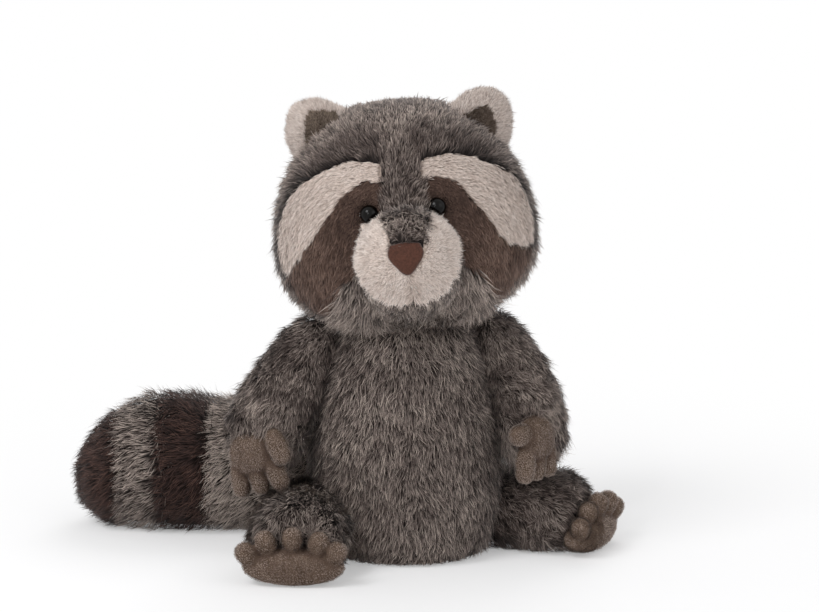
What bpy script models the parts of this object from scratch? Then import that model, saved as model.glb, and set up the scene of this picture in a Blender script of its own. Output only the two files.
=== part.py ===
"""Plush raccoon, sitting with its legs spread and its tail on the floor to one side.

Every piece is a stuffed or flat piece of plush cloth, sewn to its neighbours. The toy faces -Y, its own
left is +X, and the middle of its flat seat is the origin. Lengths are in metres.
"""

from math import cos, pi, radians, sin

import bmesh
import bpy
from mathutils import Matrix, Vector
from mathutils.bvhtree import BVHTree

SEAM_GAP = 0.0003
WELD_DISTANCE = 0.00003

TORSO_WIDTH = 0.104
TORSO_DEPTH = 0.094
TORSO_HEIGHT = 0.152

HEAD_WIDTH = 0.142
HEAD_DEPTH = 0.104
HEAD_HEIGHT = 0.124
NECK_SINK = 0.014
HEAD_FORWARD = 0.004
HEAD_SHIFT = -0.0013
HEAD_ROLL = radians(6.5)
FACE_TILT = radians(10)
PANEL_THICKNESS = 0.002
STUFFING_GAP = 0.0004
SIDE_SEAM_DEPTH = -0.004
CHIN_SEAM_DEPTH = 0.016
MUZZLE_SEAM_DEPTH = -0.020
NOSE_SEAM_DEPTH = -0.040

MUZZLE_RADIUS = 0.0275
MUZZLE_LENGTH = 0.027
MUZZLE_DROP = 0.0325
MUZZLE_CUT_REACH = 1.30
MUZZLE_CUT_STEPS = 22
NOSE_WIDTH = 0.0200
NOSE_HEIGHT = 0.0185
NOSE_DROP = 0.0300
NOSE_THICKNESS = 0.0035
BRIDGE_WIDTH = 0.019
SNOUT_HEM = 0.0006

EYE_DIAMETER = 0.010
EYE_SPREAD = 0.019
EYE_DROP = 0.0035
EYE_PROUD = 0.0036
EYE_SHANK_DIAMETER = 0.0032
EYE_SHANK_LENGTH = 0.011
WASHER_DIAMETER = 0.011
WASHER_THICKNESS = 0.0014
WASHER_SEAT = 0.0048
WASHER_POCKET_REACH = 0.010
EYE_HOLE_REACH = 0.020
WASHER_ROUGHNESS = 0.4

EAR_RADIUS = 0.0240
EAR_THICKNESS = 0.016
EAR_SPREAD = 0.0420
EAR_RISE = 0.0425
EAR_BACK = 0.001
EAR_HOLLOW_RADIUS = 0.0150
EAR_HOLLOW_DEPTH = 0.0045
LINING_THICKNESS = 0.0015
EAR_OPENING_SPREAD = 1.25

ARM_RADIUS = 0.0175
HAND_LENGTH = 0.035
PALM_INSET = 0.002
PALM_STATIONS = [(0.00, 0.72, 1.10), (0.28, 1.00, 1.15), (0.56, 0.92, 0.95)]
FINGER_STATIONS = [(0.13, 0.96), (0.82, 1.00)]
PALM_WIDTH = 0.031
PALM_THICKNESS = 0.015
FINGER_WIDTH = 0.0118
FINGER_LENGTH = 0.025
FINGER_PITCH = 0.0106
FINGER_FAN = 0.13
THUMB_WIDTH = 0.0125
THUMB_TAPER = 0.94

LEG_LENGTH = {"left": 0.086, "right": 0.084}
LEG_WIDTH = 0.051
LEG_HEIGHT = 0.043
LEG_STATIONS = [(0.00, 0.92, 0.98), (0.45, 1.00, 1.02), (0.80, 1.00, 1.02), (0.98, 0.86, 0.88)]
HIP_RISE = 0.49
HIP_SPREAD = {"left": 0.036, "right": 0.0555}
FOOT_WIDTH = 0.0610
SOLE_HEIGHT = 0.0215
FOOT_LENGTH = 0.017
TOE_WIDTH = 0.0126
TOE_LENGTH = 0.0175
SOLE_STATIONS = [(1.10, 0.84, 0.94), (0.55, 0.98, 1.02), (0.12, 0.88, 0.92)]
SOLE_TUCK = 1.40
SOLE_RISE = 0.98
TOE_STATIONS = [(-0.22, 0.96), (0.34, 1.00)]
TOE_SETBACK = 0.34
TOE_REACH = 1.06
TOE_TURNS = [166, 124, 90, 57, 22]
TOE_ARCH = 0.0115
TOE_RISE = 0.0040
TOE_SPLAY = 0.75
TOE_LEAN = 0.35

TAIL_RADIUS = 0.0375
TAIL_REACH = 0.189
TAIL_BACK = 0.062
TAIL_ROOT_BACK = 0.80
TAIL_SQUASH = 0.97
TAIL_TIP_BAND = 0.020
TAIL_GREY_BAND = 0.024
TAIL_BROWN_BAND = 0.030

SIDES = {"left": 1.0, "right": -1.0}
ARM_PATH = {"left": [(0.88, 0.21, 0.850, 0.84), (1.13, 0.09, 0.735, 0.89), (1.31, -0.06, 0.610, 1.05),
                     (1.41, -0.13, 0.425, 1.17)],
            "right": [(0.89, 0.00, 0.845, 0.90), (1.21, -0.24, 0.700, 1.00), (1.45, -0.37, 0.560, 1.17),
                      (1.60, -0.43, 0.440, 1.20)]}
WRIST = {"left": Vector((0.0745, -0.0250, 0.0800)), "right": Vector((-0.0885, -0.0325, 0.0730))}
FINGER_AIM = {"left": Vector((0.02, -0.06, -1.0)), "right": Vector((0.24, -0.08, -0.96))}
FINGER_ROW = {"left": Vector((0.55, 0.84, 0.0)), "right": Vector((-0.88, 0.42, -0.20))}
THUMB_PATH = {"left": [(-0.55, 0.15, 0.11), (-1.35, 0.10, 0.13)],
              "right": [(-1.08, -0.30, -0.06), (-1.32, -0.45, 0.44)]}
HIP_BACK = {"left": 0.024, "right": -0.004}
LEG_YAW = {"left": radians(70), "right": radians(5)}
FOOT_YAW = {"left": radians(64), "right": radians(5)}

CUTTER_REACH = 0.300
TIP_ROUNDNESS = 0.6
ROUNDING = 1
BODY_SIDES = 16
LIMB_SIDES = 10
DIGIT_SIDES = 6

TORSO_PROFILE = [(-0.02, 0.80, 0.76), (0.10, 0.99, 0.97), (0.32, 1.02, 1.03), (0.56, 0.98, 0.99),
                 (0.78, 0.79, 0.83), (0.93, 0.60, 0.62)]
HEAD_PROFILE = [(0.445, 0.37, 0.42, 0.02), (0.330, 0.67, 0.72, 0.0), (0.160, 0.90, 0.93, -0.01),
                (-0.030, 1.00, 1.01, -0.02), (-0.200, 1.03, 1.01, -0.02), (-0.360, 0.91, 0.89, -0.02),
                (-0.465, 0.62, 0.64, 0.0)]
HEAD_TOP = 0.485
HEAD_BOTTOM = -0.515
MUZZLE_PROFILE = [(-0.40, 1.06), (0.10, 1.02), (0.50, 0.90), (0.84, 0.60)]
TAIL_PATH = [(0.010, 0.45, 0.50), (-0.100, 0.80, 0.68), (-0.300, 0.98, 0.90), (-0.520, 1.00, 1.00),
             (-0.800, 1.00, 1.01), (-0.970, 1.00, 0.62)]

BROW_OUTLINE = [(0.0100, 0.0120), (0.0105, 0.0245), (0.0260, 0.0270), (0.0400, 0.0242), (0.0560, 0.0175),
                (0.0655, 0.0100), (0.0710, 0.0000), (0.0745, -0.0130), (0.0755, -0.0240),
                (0.0700, -0.0300), (0.0620, -0.0275), (0.0545, -0.0190), (0.0490, -0.0095),
                (0.0405, 0.0020), (0.0310, 0.0118), (0.0180, 0.0155)]
MASK_OUTLINE = [(0.0098, 0.0180), (0.0105, 0.0080), (0.0120, 0.0000), (0.0132, -0.0100), (0.0240, -0.0300),
                (0.0340, -0.0390), (0.0390, -0.0500), (0.0420, -0.0620), (0.0440, -0.0900),
                (0.0950, -0.0900), (0.0950, -0.0260), (0.0700, -0.0240), (0.0560, -0.0050), (0.0420, 0.0100),
                (0.0280, 0.0190), (0.0150, 0.0210)]
CHIN_OUTLINE = [(0.0200, -0.0300), (0.0345, -0.0385), (0.0395, -0.0500), (0.0425, -0.0620), (0.0445, -0.0900),
                (-0.0445, -0.0900), (-0.0425, -0.0620), (-0.0395, -0.0500), (-0.0345, -0.0385),
                (-0.0200, -0.0300)]
BRIDGE_EDGE = [(1.30, 0.0080), (1.40, -0.0060), (1.38, -0.0115), (1.02, -0.0190), (0.70, -0.0215)]
NOSE_OUTLINE = [(0.00, 0.50), (0.30, 0.48), (0.48, 0.30), (0.46, 0.02), (0.26, -0.28), (0.06, -0.50),
                (-0.06, -0.50), (-0.26, -0.28), (-0.46, 0.02), (-0.48, 0.30), (-0.30, 0.48)]

GREY_PLUSH = (0.17, 0.15, 0.13, 1.0)
BROWN_PLUSH = (0.10, 0.062, 0.044, 1.0)
CREAM_PLUSH = (0.54, 0.46, 0.40, 1.0)
DARK_PLUSH = (0.045, 0.036, 0.032, 1.0)
PAW_PLUSH = (0.20, 0.15, 0.12, 1.0)
NOSE_SUEDE = (0.10, 0.035, 0.025, 1.0)
EYE_PLASTIC = (0.006, 0.005, 0.005, 1.0)
WASHER_PLASTIC = (0.75, 0.75, 0.73, 1.0)
FIBRE_FILL = (0.85, 0.84, 0.82, 1.0)

CLOTH_ROUGHNESS = 0.9
PLASTIC_ROUGHNESS = 0.08


def clear_scene():
    """Remove every object and collection that the scene holds."""
    for item in list(bpy.data.objects):
        bpy.data.objects.remove(item, do_unlink=True)
    for group in list(bpy.data.collections):
        bpy.data.collections.remove(group)


def new_collection(name):
    group = bpy.data.collections.new(name)
    bpy.context.scene.collection.children.link(group)
    return group


def link_object(name, mesh, group):
    item = bpy.data.objects.new(name, mesh)
    group.objects.link(item)
    return item


def mark_cutter(item):
    item.hide_render = True
    item.display_type = "WIRE"
    return item


def from_bmesh(name, shape, group):
    """Turn a bmesh into an object whose faces point outwards."""
    bmesh.ops.recalc_face_normals(shape, faces=shape.faces)
    mesh = bpy.data.meshes.new(name)
    shape.to_mesh(mesh)
    shape.free()
    item = link_object(name, mesh, group)
    return mark_cutter(item) if group == CUTTERS else item


def baked(item, name, group):
    """A plain mesh copy of what an object's modifiers make."""
    bpy.context.view_layer.update()
    graph = bpy.context.evaluated_depsgraph_get()
    mesh = bpy.data.meshes.new_from_object(item.evaluated_get(graph))
    mesh.transform(item.matrix_world)
    copy = link_object(name, mesh, group)
    return mark_cutter(copy) if group == CUTTERS else copy


def dress(item, colour, roughness=CLOTH_ROUGHNESS):
    """Give a piece a material of its own."""
    finish = bpy.data.materials.new(item.name + "_finish")
    finish.use_nodes = True
    shader = finish.node_tree.nodes["Principled BSDF"]
    shader.inputs["Base Color"].default_value = colour
    shader.inputs["Roughness"].default_value = roughness
    shader.inputs["Metallic"].default_value = 0.0
    finish.diffuse_color = colour
    item.data.materials.clear()
    item.data.materials.append(finish)
    item.data.shade_smooth()
    item.data.set_sharp_from_angle(angle=radians(50))


def boolean(item, other, operation):
    step = item.modifiers.new(operation.lower(), "BOOLEAN")
    step.operation = operation
    step.object = other
    step.solver = "EXACT"


def cut(item, *cutters):
    for other in cutters:
        boolean(item, other, "DIFFERENCE")


def keep_inside(item, other):
    boolean(item, other, "INTERSECT")


def join(item, *others):
    for other in others:
        boolean(item, other, "UNION")


def tidy_seams(item):
    """Close the hair-thin slivers that a union leaves along its seams."""
    weld = item.modifiers.new("seam_weld", "WELD")
    weld.merge_threshold = WELD_DISTANCE


def ring(station, sides):
    """The cage points round one station, set out so that the smoothed form has the station's radii."""
    centre, across, along = station
    swell = 3 / (2 + cos(2 * pi / sides))
    turns = [2 * pi * k / sides for k in range(sides)]
    return [centre + swell * (cos(turn) * across + sin(turn) * along) for turn in turns]


def soft_form(name, stations, first_tip, last_tip, group, sides=LIMB_SIDES):
    """A closed stuffed form: a coarse cage lofted through the stations, rounded by subdivision."""
    shape = bmesh.new()
    rings = [[shape.verts.new(point) for point in ring(station, sides)] for station in stations]
    for near, far in zip(rings, rings[1:]):
        for k in range(sides):
            shape.faces.new((near[k - 1], near[k], far[k], far[k - 1]))
    for tip, edge in ((first_tip, rings[0]), (last_tip, rings[-1])):
        pole = shape.verts.new(tip)
        for k in range(sides):
            shape.faces.new((edge[k - 1], edge[k], pole))
    item = from_bmesh(name, shape, group)
    smooth = item.modifiers.new("rounding", "SUBSURF")
    smooth.levels = ROUNDING
    smooth.render_levels = ROUNDING
    facets = item.modifiers.new("facets", "TRIANGULATE")
    facets.quad_method = "FIXED"
    return item


def limb(name, path, group, up=Vector((0, 0, 1)), sides=LIMB_SIDES):
    """A soft form along a path of (point, half width, half height), closed by round ends."""
    points = [Vector(point) for point, _, _ in path]
    stations = []
    for k, (_, half_width, half_height) in enumerate(path):
        heading = (points[min(k + 1, len(points) - 1)] - points[max(k - 1, 0)]).normalized()
        across = heading.cross(up).normalized()
        stations.append((points[k], across * half_width, across.cross(heading) * half_height))
    first_tip = points[0] - (points[1] - points[0]).normalized() * path[0][2] * TIP_ROUNDNESS
    last_tip = points[-1] + (points[-1] - points[-2]).normalized() * path[-1][2] * TIP_ROUNDNESS
    return soft_form(name, stations, first_tip, last_tip, group, sides)


def ball(name, frame, radii, group, segments=16, rings=10):
    """An ellipsoid with its poles on the frame's Y axis."""
    shape = bmesh.new()
    place = frame @ Matrix.Diagonal((*radii, 1)) @ Matrix.Rotation(pi / 2, 4, "X")
    bmesh.ops.create_uvsphere(shape, u_segments=segments, v_segments=rings, radius=1, matrix=place)
    bmesh.ops.triangulate(shape, faces=shape.faces, quad_method="FIXED")
    return from_bmesh(name, shape, group)


def drum(name, frame, radius, near, far, group, segments=20):
    """A cylinder along the frame's Y axis, from near to far."""
    shape = bmesh.new()
    place = frame @ Matrix.Translation((0, (near + far) / 2, 0)) @ Matrix.Rotation(pi / 2, 4, "X")
    bmesh.ops.create_cone(shape, cap_ends=True, segments=segments, radius1=radius, radius2=radius,
                          depth=far - near, matrix=place)
    return from_bmesh(name, shape, group)


def block(name, low, high):
    """A box cutter between two corners."""
    shape = bmesh.new()
    low = Vector(low)
    high = Vector(high)
    place = Matrix.Translation((low + high) / 2) @ Matrix.Diagonal((*(high - low), 1))
    bmesh.ops.create_cube(shape, size=1, matrix=place)
    return from_bmesh(name, shape, CUTTERS)


def beyond_plane(name, point, normal):
    """A box cutter that fills the side of a plane that its normal points to."""
    shape = bmesh.new()
    turn = Vector(normal).to_track_quat("Z", "Y").to_matrix().to_4x4()
    place = Matrix.Translation(point) @ turn @ Matrix.Translation((0, 0, CUTTER_REACH / 2))
    bmesh.ops.create_cube(shape, size=CUTTER_REACH, matrix=place)
    return from_bmesh(name, shape, CUTTERS)


def signed_area(outline):
    pairs = zip(outline, outline[1:] + outline[:1])
    return sum(a[0] * b[1] - b[0] * a[1] for a, b in pairs) / 2


def spread(outline, distance):
    """Move a flat outline outwards by a distance."""
    outward = -1 if signed_area(outline) > 0 else 1
    moved = []
    for k, point in enumerate(outline):
        before = (Vector(point) - Vector(outline[k - 1])).normalized()
        after = (Vector(outline[(k + 1) % len(outline)]) - Vector(point)).normalized()
        along = before + after
        normal = Vector((-along.y, along.x)).normalized() * outward
        corner = max(0.5, normal.dot(Vector((-before.y, before.x)) * outward))
        moved.append(tuple(Vector(point) + normal * distance / corner))
    return moved


def prism(name, outline, frame, near, far, rounded=True):
    """A flat outline in the frame's X and Z, drawn out along its Y from near to far."""
    curve = bpy.data.curves.new(name, "CURVE")
    curve.dimensions = "2D"
    curve.fill_mode = "BOTH"
    curve.extrude = (far - near) / 2
    curve.resolution_u = 2
    if rounded:
        spline = curve.splines.new("BEZIER")
        spline.bezier_points.add(len(outline) - 1)
        for knot, point in zip(spline.bezier_points, outline):
            knot.co = (*point, 0)
            knot.handle_left_type = "AUTO"
            knot.handle_right_type = "AUTO"
    else:
        spline = curve.splines.new("POLY")
        spline.points.add(len(outline) - 1)
        for knot, point in zip(spline.points, outline):
            knot.co = (*point, 0, 1)
    spline.use_cyclic_u = True
    drawn = link_object(name + "_curve", curve, CUTTERS)
    bpy.context.view_layer.update()
    graph = bpy.context.evaluated_depsgraph_get()
    mesh = bpy.data.meshes.new_from_object(drawn.evaluated_get(graph))
    bpy.data.objects.remove(drawn, do_unlink=True)
    shape = bmesh.new()
    shape.from_mesh(mesh)
    bpy.data.meshes.remove(mesh)
    bmesh.ops.remove_doubles(shape, verts=shape.verts, dist=0.00001)
    stand = frame @ Matrix.Translation((0, (near + far) / 2, 0)) @ Matrix.Rotation(pi / 2, 4, "X")
    bmesh.ops.transform(shape, matrix=stand, verts=shape.verts)
    return from_bmesh(name, shape, CUTTERS)


def mirrored(outline):
    return [(-x, z) for x, z in outline]


def torso_form(name, grow, group):
    half_width = TORSO_WIDTH / 2
    half_depth = TORSO_DEPTH / 2
    stations = [(Vector((0, 0, share * TORSO_HEIGHT)), Vector((wide * half_width + grow, 0, 0)),
                 Vector((0, deep * half_depth + grow, 0))) for share, wide, deep in TORSO_PROFILE]
    low = Vector((0, 0, TORSO_PROFILE[0][0] * TORSO_HEIGHT - grow))
    return soft_form(name, stations, low, Vector((0, 0, TORSO_HEIGHT + grow)), group, BODY_SIDES)


def head_form(name, grow):
    """The rounded head, wider at the cheeks than at the crown."""
    stations = []
    for rise, wide, deep, back in HEAD_PROFILE:
        centre = HEAD_FRAME @ Vector((0, back * HEAD_DEPTH, rise * HEAD_HEIGHT))
        across = HEAD_FRAME.to_3x3() @ Vector((wide * HEAD_WIDTH / 2 + grow, 0, 0))
        along = HEAD_FRAME.to_3x3() @ Vector((0, deep * HEAD_DEPTH / 2 + grow, 0))
        stations.append((centre, across, along))
    top = HEAD_FRAME @ Vector((0, 0, HEAD_TOP * HEAD_HEIGHT + grow))
    bottom = HEAD_FRAME @ Vector((0, 0, HEAD_BOTTOM * HEAD_HEIGHT - grow))
    return soft_form(name, stations, top, bottom, CUTTERS, BODY_SIDES)


def muzzle_form(name, grow):
    """The round snout, drawn out from the face along the line that the face is cut on."""
    turn = FACE_FRAME.to_3x3()
    stations = []
    for reach, wide in MUZZLE_PROFILE:
        centre = FACE_FRAME @ Vector((0, FACE_DEPTH - reach * MUZZLE_LENGTH, -MUZZLE_DROP))
        radius = wide * MUZZLE_RADIUS + grow
        stations.append((centre, turn @ Vector((radius, 0, 0)), turn @ Vector((0, 0, radius))))
    inner = FACE_FRAME @ Vector((0, FACE_DEPTH + MUZZLE_LENGTH / 2, -MUZZLE_DROP))
    outer = FACE_FRAME @ Vector((0, FACE_DEPTH - MUZZLE_LENGTH - grow, -MUZZLE_DROP))
    return soft_form(name, stations, inner, outer, CUTTERS)


def head_body(name, grow):
    """The head and its snout as one form."""
    whole = head_form(name + "_round", grow)
    join(whole, muzzle_form(name + "_snout", grow))
    return baked(whole, name, CUTTERS)


def face_depth_at(surface, across, rise):
    """Depth in the face frame of the head's front surface under a point of the face."""
    tree = BVHTree.FromObject(surface, bpy.context.evaluated_depsgraph_get())
    start = FACE_FRAME @ Vector((across, -CUTTER_REACH, rise))
    heading = FACE_FRAME.to_3x3() @ Vector((0, 1, 0))
    hit = tree.ray_cast(start, heading)[0]
    return (FACE_FRAME.inverted() @ hit).y


def muzzle_outline():
    """The muzzle's circle, with the notch that the bridge fills on its way to the nose."""
    half = BRIDGE_WIDTH / 2
    right = [(share * half, rise) for share, rise in BRIDGE_EDGE]
    start = right[1]
    turn = Vector((start[0], start[1] + MUZZLE_DROP))
    first = Vector((0, 1)).angle(turn)
    steps = MUZZLE_CUT_STEPS
    reach = MUZZLE_RADIUS * MUZZLE_CUT_REACH
    arc = [first + (2 * pi - 2 * first) * k / steps for k in range(steps + 1)]
    circle = [(reach * sin(angle), reach * cos(angle) - MUZZLE_DROP) for angle in arc]
    left = mirrored(right)
    return circle + left[2:] + list(reversed(right[2:]))


def build_head():
    outer = head_body("head_outside", 0)
    inner = head_body("head_inside", -PANEL_THICKNESS)
    clear = head_body("head_clearance", SEAM_GAP)
    shell_work = baked(outer, "head_shell_work", CUTTERS)
    cut(shell_work, inner)
    shell = baked(shell_work, "head_shell", CUTTERS)
    front = -CUTTER_REACH / 2

    muzzle_cut = prism("muzzle_outline", muzzle_outline(), FACE_FRAME, front, MUZZLE_SEAM_DEPTH, rounded=False)
    muzzle_room = prism("muzzle_room", spread(muzzle_outline(), SEAM_GAP), FACE_FRAME, front, MUZZLE_SEAM_DEPTH,
                        rounded=False)
    snout_room = muzzle_form("snout_room", SNOUT_HEM + SEAM_GAP)
    snout_face = muzzle_form("snout_face", SNOUT_HEM)
    keep_inside(muzzle_room, snout_room)
    chin_cut = prism("chin_outline", CHIN_OUTLINE, FACE_FRAME, front, CHIN_SEAM_DEPTH)
    chin_room = prism("chin_room", spread(CHIN_OUTLINE, SEAM_GAP), FACE_FRAME, front,
                      CHIN_SEAM_DEPTH + SEAM_GAP)

    muzzle = baked(shell, "muzzle_panel", PARTS)
    keep_inside(muzzle, muzzle_cut)
    keep_inside(muzzle, snout_face)
    dress(muzzle, CREAM_PLUSH)

    chin = baked(shell, "chin_panel", PARTS)
    keep_inside(chin, chin_cut)
    cut(chin, muzzle_room)
    dress(chin, GREY_PLUSH)

    head_panel = baked(shell, "head_panel", PARTS)
    cut(head_panel, muzzle_room, chin_room)
    dress(head_panel, GREY_PLUSH)

    stuffing = head_body("head_stuffing_form", -PANEL_THICKNESS - STUFFING_GAP)
    filling = baked(stuffing, "head_stuffing", PARTS)
    dress(filling, FIBRE_FILL)

    for side, sign in SIDES.items():
        brow_points = BROW_OUTLINE if sign > 0 else mirrored(BROW_OUTLINE)
        mask_points = MASK_OUTLINE if sign > 0 else mirrored(MASK_OUTLINE)
        brow_cut = prism("brow_outline_" + side, brow_points, FACE_FRAME, front, SIDE_SEAM_DEPTH)
        brow_room = prism("brow_room_" + side, spread(brow_points, SEAM_GAP), FACE_FRAME, front,
                          SIDE_SEAM_DEPTH + SEAM_GAP)
        mask_cut = prism("mask_outline_" + side, mask_points, FACE_FRAME, front, SIDE_SEAM_DEPTH)
        mask_room = prism("mask_room_" + side, spread(mask_points, SEAM_GAP), FACE_FRAME, front,
                          SIDE_SEAM_DEPTH + SEAM_GAP)

        brow = baked(shell, "brow_band_" + side, PARTS)
        keep_inside(brow, brow_cut)
        dress(brow, CREAM_PLUSH)

        mask = baked(shell, "mask_panel_" + side, PARTS)
        keep_inside(mask, mask_cut)
        cut(mask, brow_room, muzzle_room, chin_room)
        dress(mask, BROWN_PLUSH)

        cut(head_panel, brow_room, mask_room)
        build_eye(side, sign, outer, clear, stuffing, (mask, head_panel, muzzle, brow), filling)
        build_ear(side, sign, clear)
    build_nose(clear)
    return clear


def build_nose(clear):
    """A thin padded suede patch on the front of the snout."""
    points = [(x * NOSE_WIDTH, z * NOSE_HEIGHT - NOSE_DROP) for x, z in NOSE_OUTLINE]
    outline = prism("nose_outline", points, FACE_FRAME, -CUTTER_REACH / 2, NOSE_SEAM_DEPTH)
    nose = baked(muzzle_form("nose_form", NOSE_THICKNESS + SEAM_GAP), "nose", PARTS)
    keep_inside(nose, outline)
    cut(nose, clear)
    dress(nose, NOSE_SUEDE)


def build_eye(side, sign, outer, clear, stuffing, panels, filling):
    """A safety eye: a domed head on a shank through the cloth, locked by a washer behind it."""
    depth = face_depth_at(outer, sign * EYE_SPREAD, -EYE_DROP)
    frame = FACE_FRAME @ Matrix.Translation((sign * EYE_SPREAD, depth, -EYE_DROP))
    radius = EYE_DIAMETER / 2
    dome_frame = frame @ Matrix.Translation((0, radius - EYE_PROUD, 0))
    dome = ball("eye_dome_" + side, dome_frame, (radius, radius, radius), CUTTERS)
    cut(dome, clear)
    eye = baked(dome, "eye_" + side, PARTS)
    shank_radius = EYE_SHANK_DIAMETER / 2
    shank = drum("eye_shank_" + side, frame, shank_radius, -EYE_PROUD / 2, EYE_SHANK_LENGTH, CUTTERS, 12)
    join(eye, shank)
    dress(eye, EYE_PLASTIC, PLASTIC_ROUGHNESS)

    hole = drum("eye_hole_" + side, frame, shank_radius + SEAM_GAP, -EYE_HOLE_REACH,
                EYE_SHANK_LENGTH + SEAM_GAP, CUTTERS, 12)
    for panel in panels:
        cut(panel, hole)
    cut(filling, hole)

    washer_back = WASHER_SEAT + PANEL_THICKNESS + WASHER_THICKNESS
    washer = drum("eye_washer_" + side, frame, WASHER_DIAMETER / 2, 0, washer_back, PARTS, 16)
    keep_inside(washer, stuffing)
    cut(washer, hole)
    pocket = drum("washer_pocket_" + side, frame, WASHER_DIAMETER / 2 + SEAM_GAP, -WASHER_POCKET_REACH,
                  washer_back + SEAM_GAP, CUTTERS, 16)
    cut(filling, pocket)
    dress(washer, WASHER_PLASTIC, WASHER_ROUGHNESS)


def build_ear(side, sign, clear):
    """A round padded ear with a shallow hollow in its front, and the dark cloth that lines it."""
    place = Matrix.Translation((sign * EAR_SPREAD, EAR_BACK, EAR_RISE))
    frame = HEAD_FRAME @ place
    half = EAR_THICKNESS / 2
    ear = ball("ear_" + side, frame, (EAR_RADIUS, half, EAR_RADIUS), PARTS)
    hollow_place = Matrix.Translation((0, -half, 0))
    hollow_depth = EAR_HOLLOW_DEPTH + SEAM_GAP
    hollow = ball("ear_hollow_" + side, frame @ hollow_place,
                  (EAR_HOLLOW_RADIUS + SEAM_GAP, hollow_depth, EAR_HOLLOW_RADIUS + SEAM_GAP), CUTTERS)
    cut(ear, hollow, clear)
    dress(ear, CREAM_PLUSH)
    lining = ball("ear_lining_" + side, frame @ hollow_place,
                  (EAR_HOLLOW_RADIUS, EAR_HOLLOW_DEPTH, EAR_HOLLOW_RADIUS), PARTS)
    opening_place = Matrix.Translation((0, -LINING_THICKNESS, 0))
    opening = ball("ear_opening_" + side, frame @ hollow_place @ opening_place,
                   (EAR_HOLLOW_RADIUS * EAR_OPENING_SPREAD, EAR_HOLLOW_DEPTH,
                    EAR_HOLLOW_RADIUS * EAR_OPENING_SPREAD), CUTTERS, 18, 8)
    cut(lining, opening, clear)
    dress(lining, DARK_PLUSH)


def hand_form(name, side, sign, grow):
    """A flat mitt with three puffed fingers and a thumb, grown by a margin on every side."""
    down = FINGER_AIM[side].normalized()
    row = FINGER_ROW[side]
    row = (row - down * row.dot(down)).normalized()
    inward = row.cross(down) * sign
    root = WRIST[side]
    half_palm = PALM_WIDTH / 2
    half_thick = PALM_THICKNESS / 2
    start = root - down * PALM_INSET
    palm_path = [(start + down * HAND_LENGTH * share, half_palm * wide + grow, half_thick * thick + grow)
                 for share, wide, thick in PALM_STATIONS]
    hand = limb(name, palm_path, CUTTERS, up=inward)
    half_finger = FINGER_WIDTH / 2 + grow
    for k in range(3):
        base = root + row * FINGER_PITCH * (k - 1) + down * (HAND_LENGTH - FINGER_LENGTH)
        spread_out = (down + row * FINGER_FAN * (k - 1)).normalized()
        finger_path = [(base + spread_out * FINGER_LENGTH * share, half_finger * wide, half_finger * wide)
                       for share, wide in FINGER_STATIONS]
        join(hand, limb(f"{name}_finger_{k}", finger_path, CUTTERS, up=inward, sides=DIGIT_SIDES))
    half_thumb = THUMB_WIDTH / 2 + grow
    thumb_path = []
    for (beside, before, along), wide in zip(THUMB_PATH[side], (THUMB_TAPER, 1.0)):
        point = root + row * half_palm * beside + inward * half_thick * before + down * HAND_LENGTH * along
        thumb_path.append((point, half_thumb * wide, half_thumb * wide))
    join(hand, limb(name + "_thumb", thumb_path, CUTTERS, up=inward, sides=DIGIT_SIDES))
    tidy_seams(hand)
    return hand


def build_arm(side, sign, torso_room, head_room):
    """A stuffed sleeve that hangs from the shoulder, with the hand let into its lower end."""
    path = []
    for out, ahead, rise, girth in ARM_PATH[side]:
        point = Vector((sign * out * TORSO_WIDTH / 2, ahead * TORSO_DEPTH / 2, rise * TORSO_HEIGHT))
        path.append((point, ARM_RADIUS * girth, ARM_RADIUS * girth))
    arm = limb("arm_" + side, path, PARTS, up=Vector((0, -1, 0)))
    cut(arm, torso_room, head_room, hand_form("hand_room_" + side, side, sign, SEAM_GAP))
    dress(arm, GREY_PLUSH)
    hand = baked(hand_form("hand_form_" + side, side, sign, 0), "hand_" + side, PARTS)
    dress(hand, PAW_PLUSH)


def heading(yaw, sign):
    """A level direction turned outwards from straight ahead."""
    return Vector((sign * sin(yaw), -cos(yaw), 0))


def build_leg(side, sign, torso_room, floor):
    aim = heading(LEG_YAW[side], sign)
    facing = heading(FOOT_YAW[side], sign)
    hip = Vector((sign * HIP_SPREAD[side], HIP_BACK[side], LEG_HEIGHT * HIP_RISE))
    sole = hip + aim * LEG_LENGTH[side]
    ankle = sole - facing * FOOT_LENGTH
    half_width = LEG_WIDTH / 2
    half_height = LEG_HEIGHT / 2
    reach = LEG_LENGTH[side] - FOOT_LENGTH
    path = [(hip + aim * reach * share, half_width * wide, half_height * high)
            for share, wide, high in LEG_STATIONS]
    leg = limb("leg_" + side, path, PARTS)
    cut(leg, torso_room, beyond_plane("ankle_plane_" + side, ankle, facing), floor)
    dress(leg, GREY_PLUSH)
    build_foot(side, sole, ankle, facing, floor)


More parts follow.
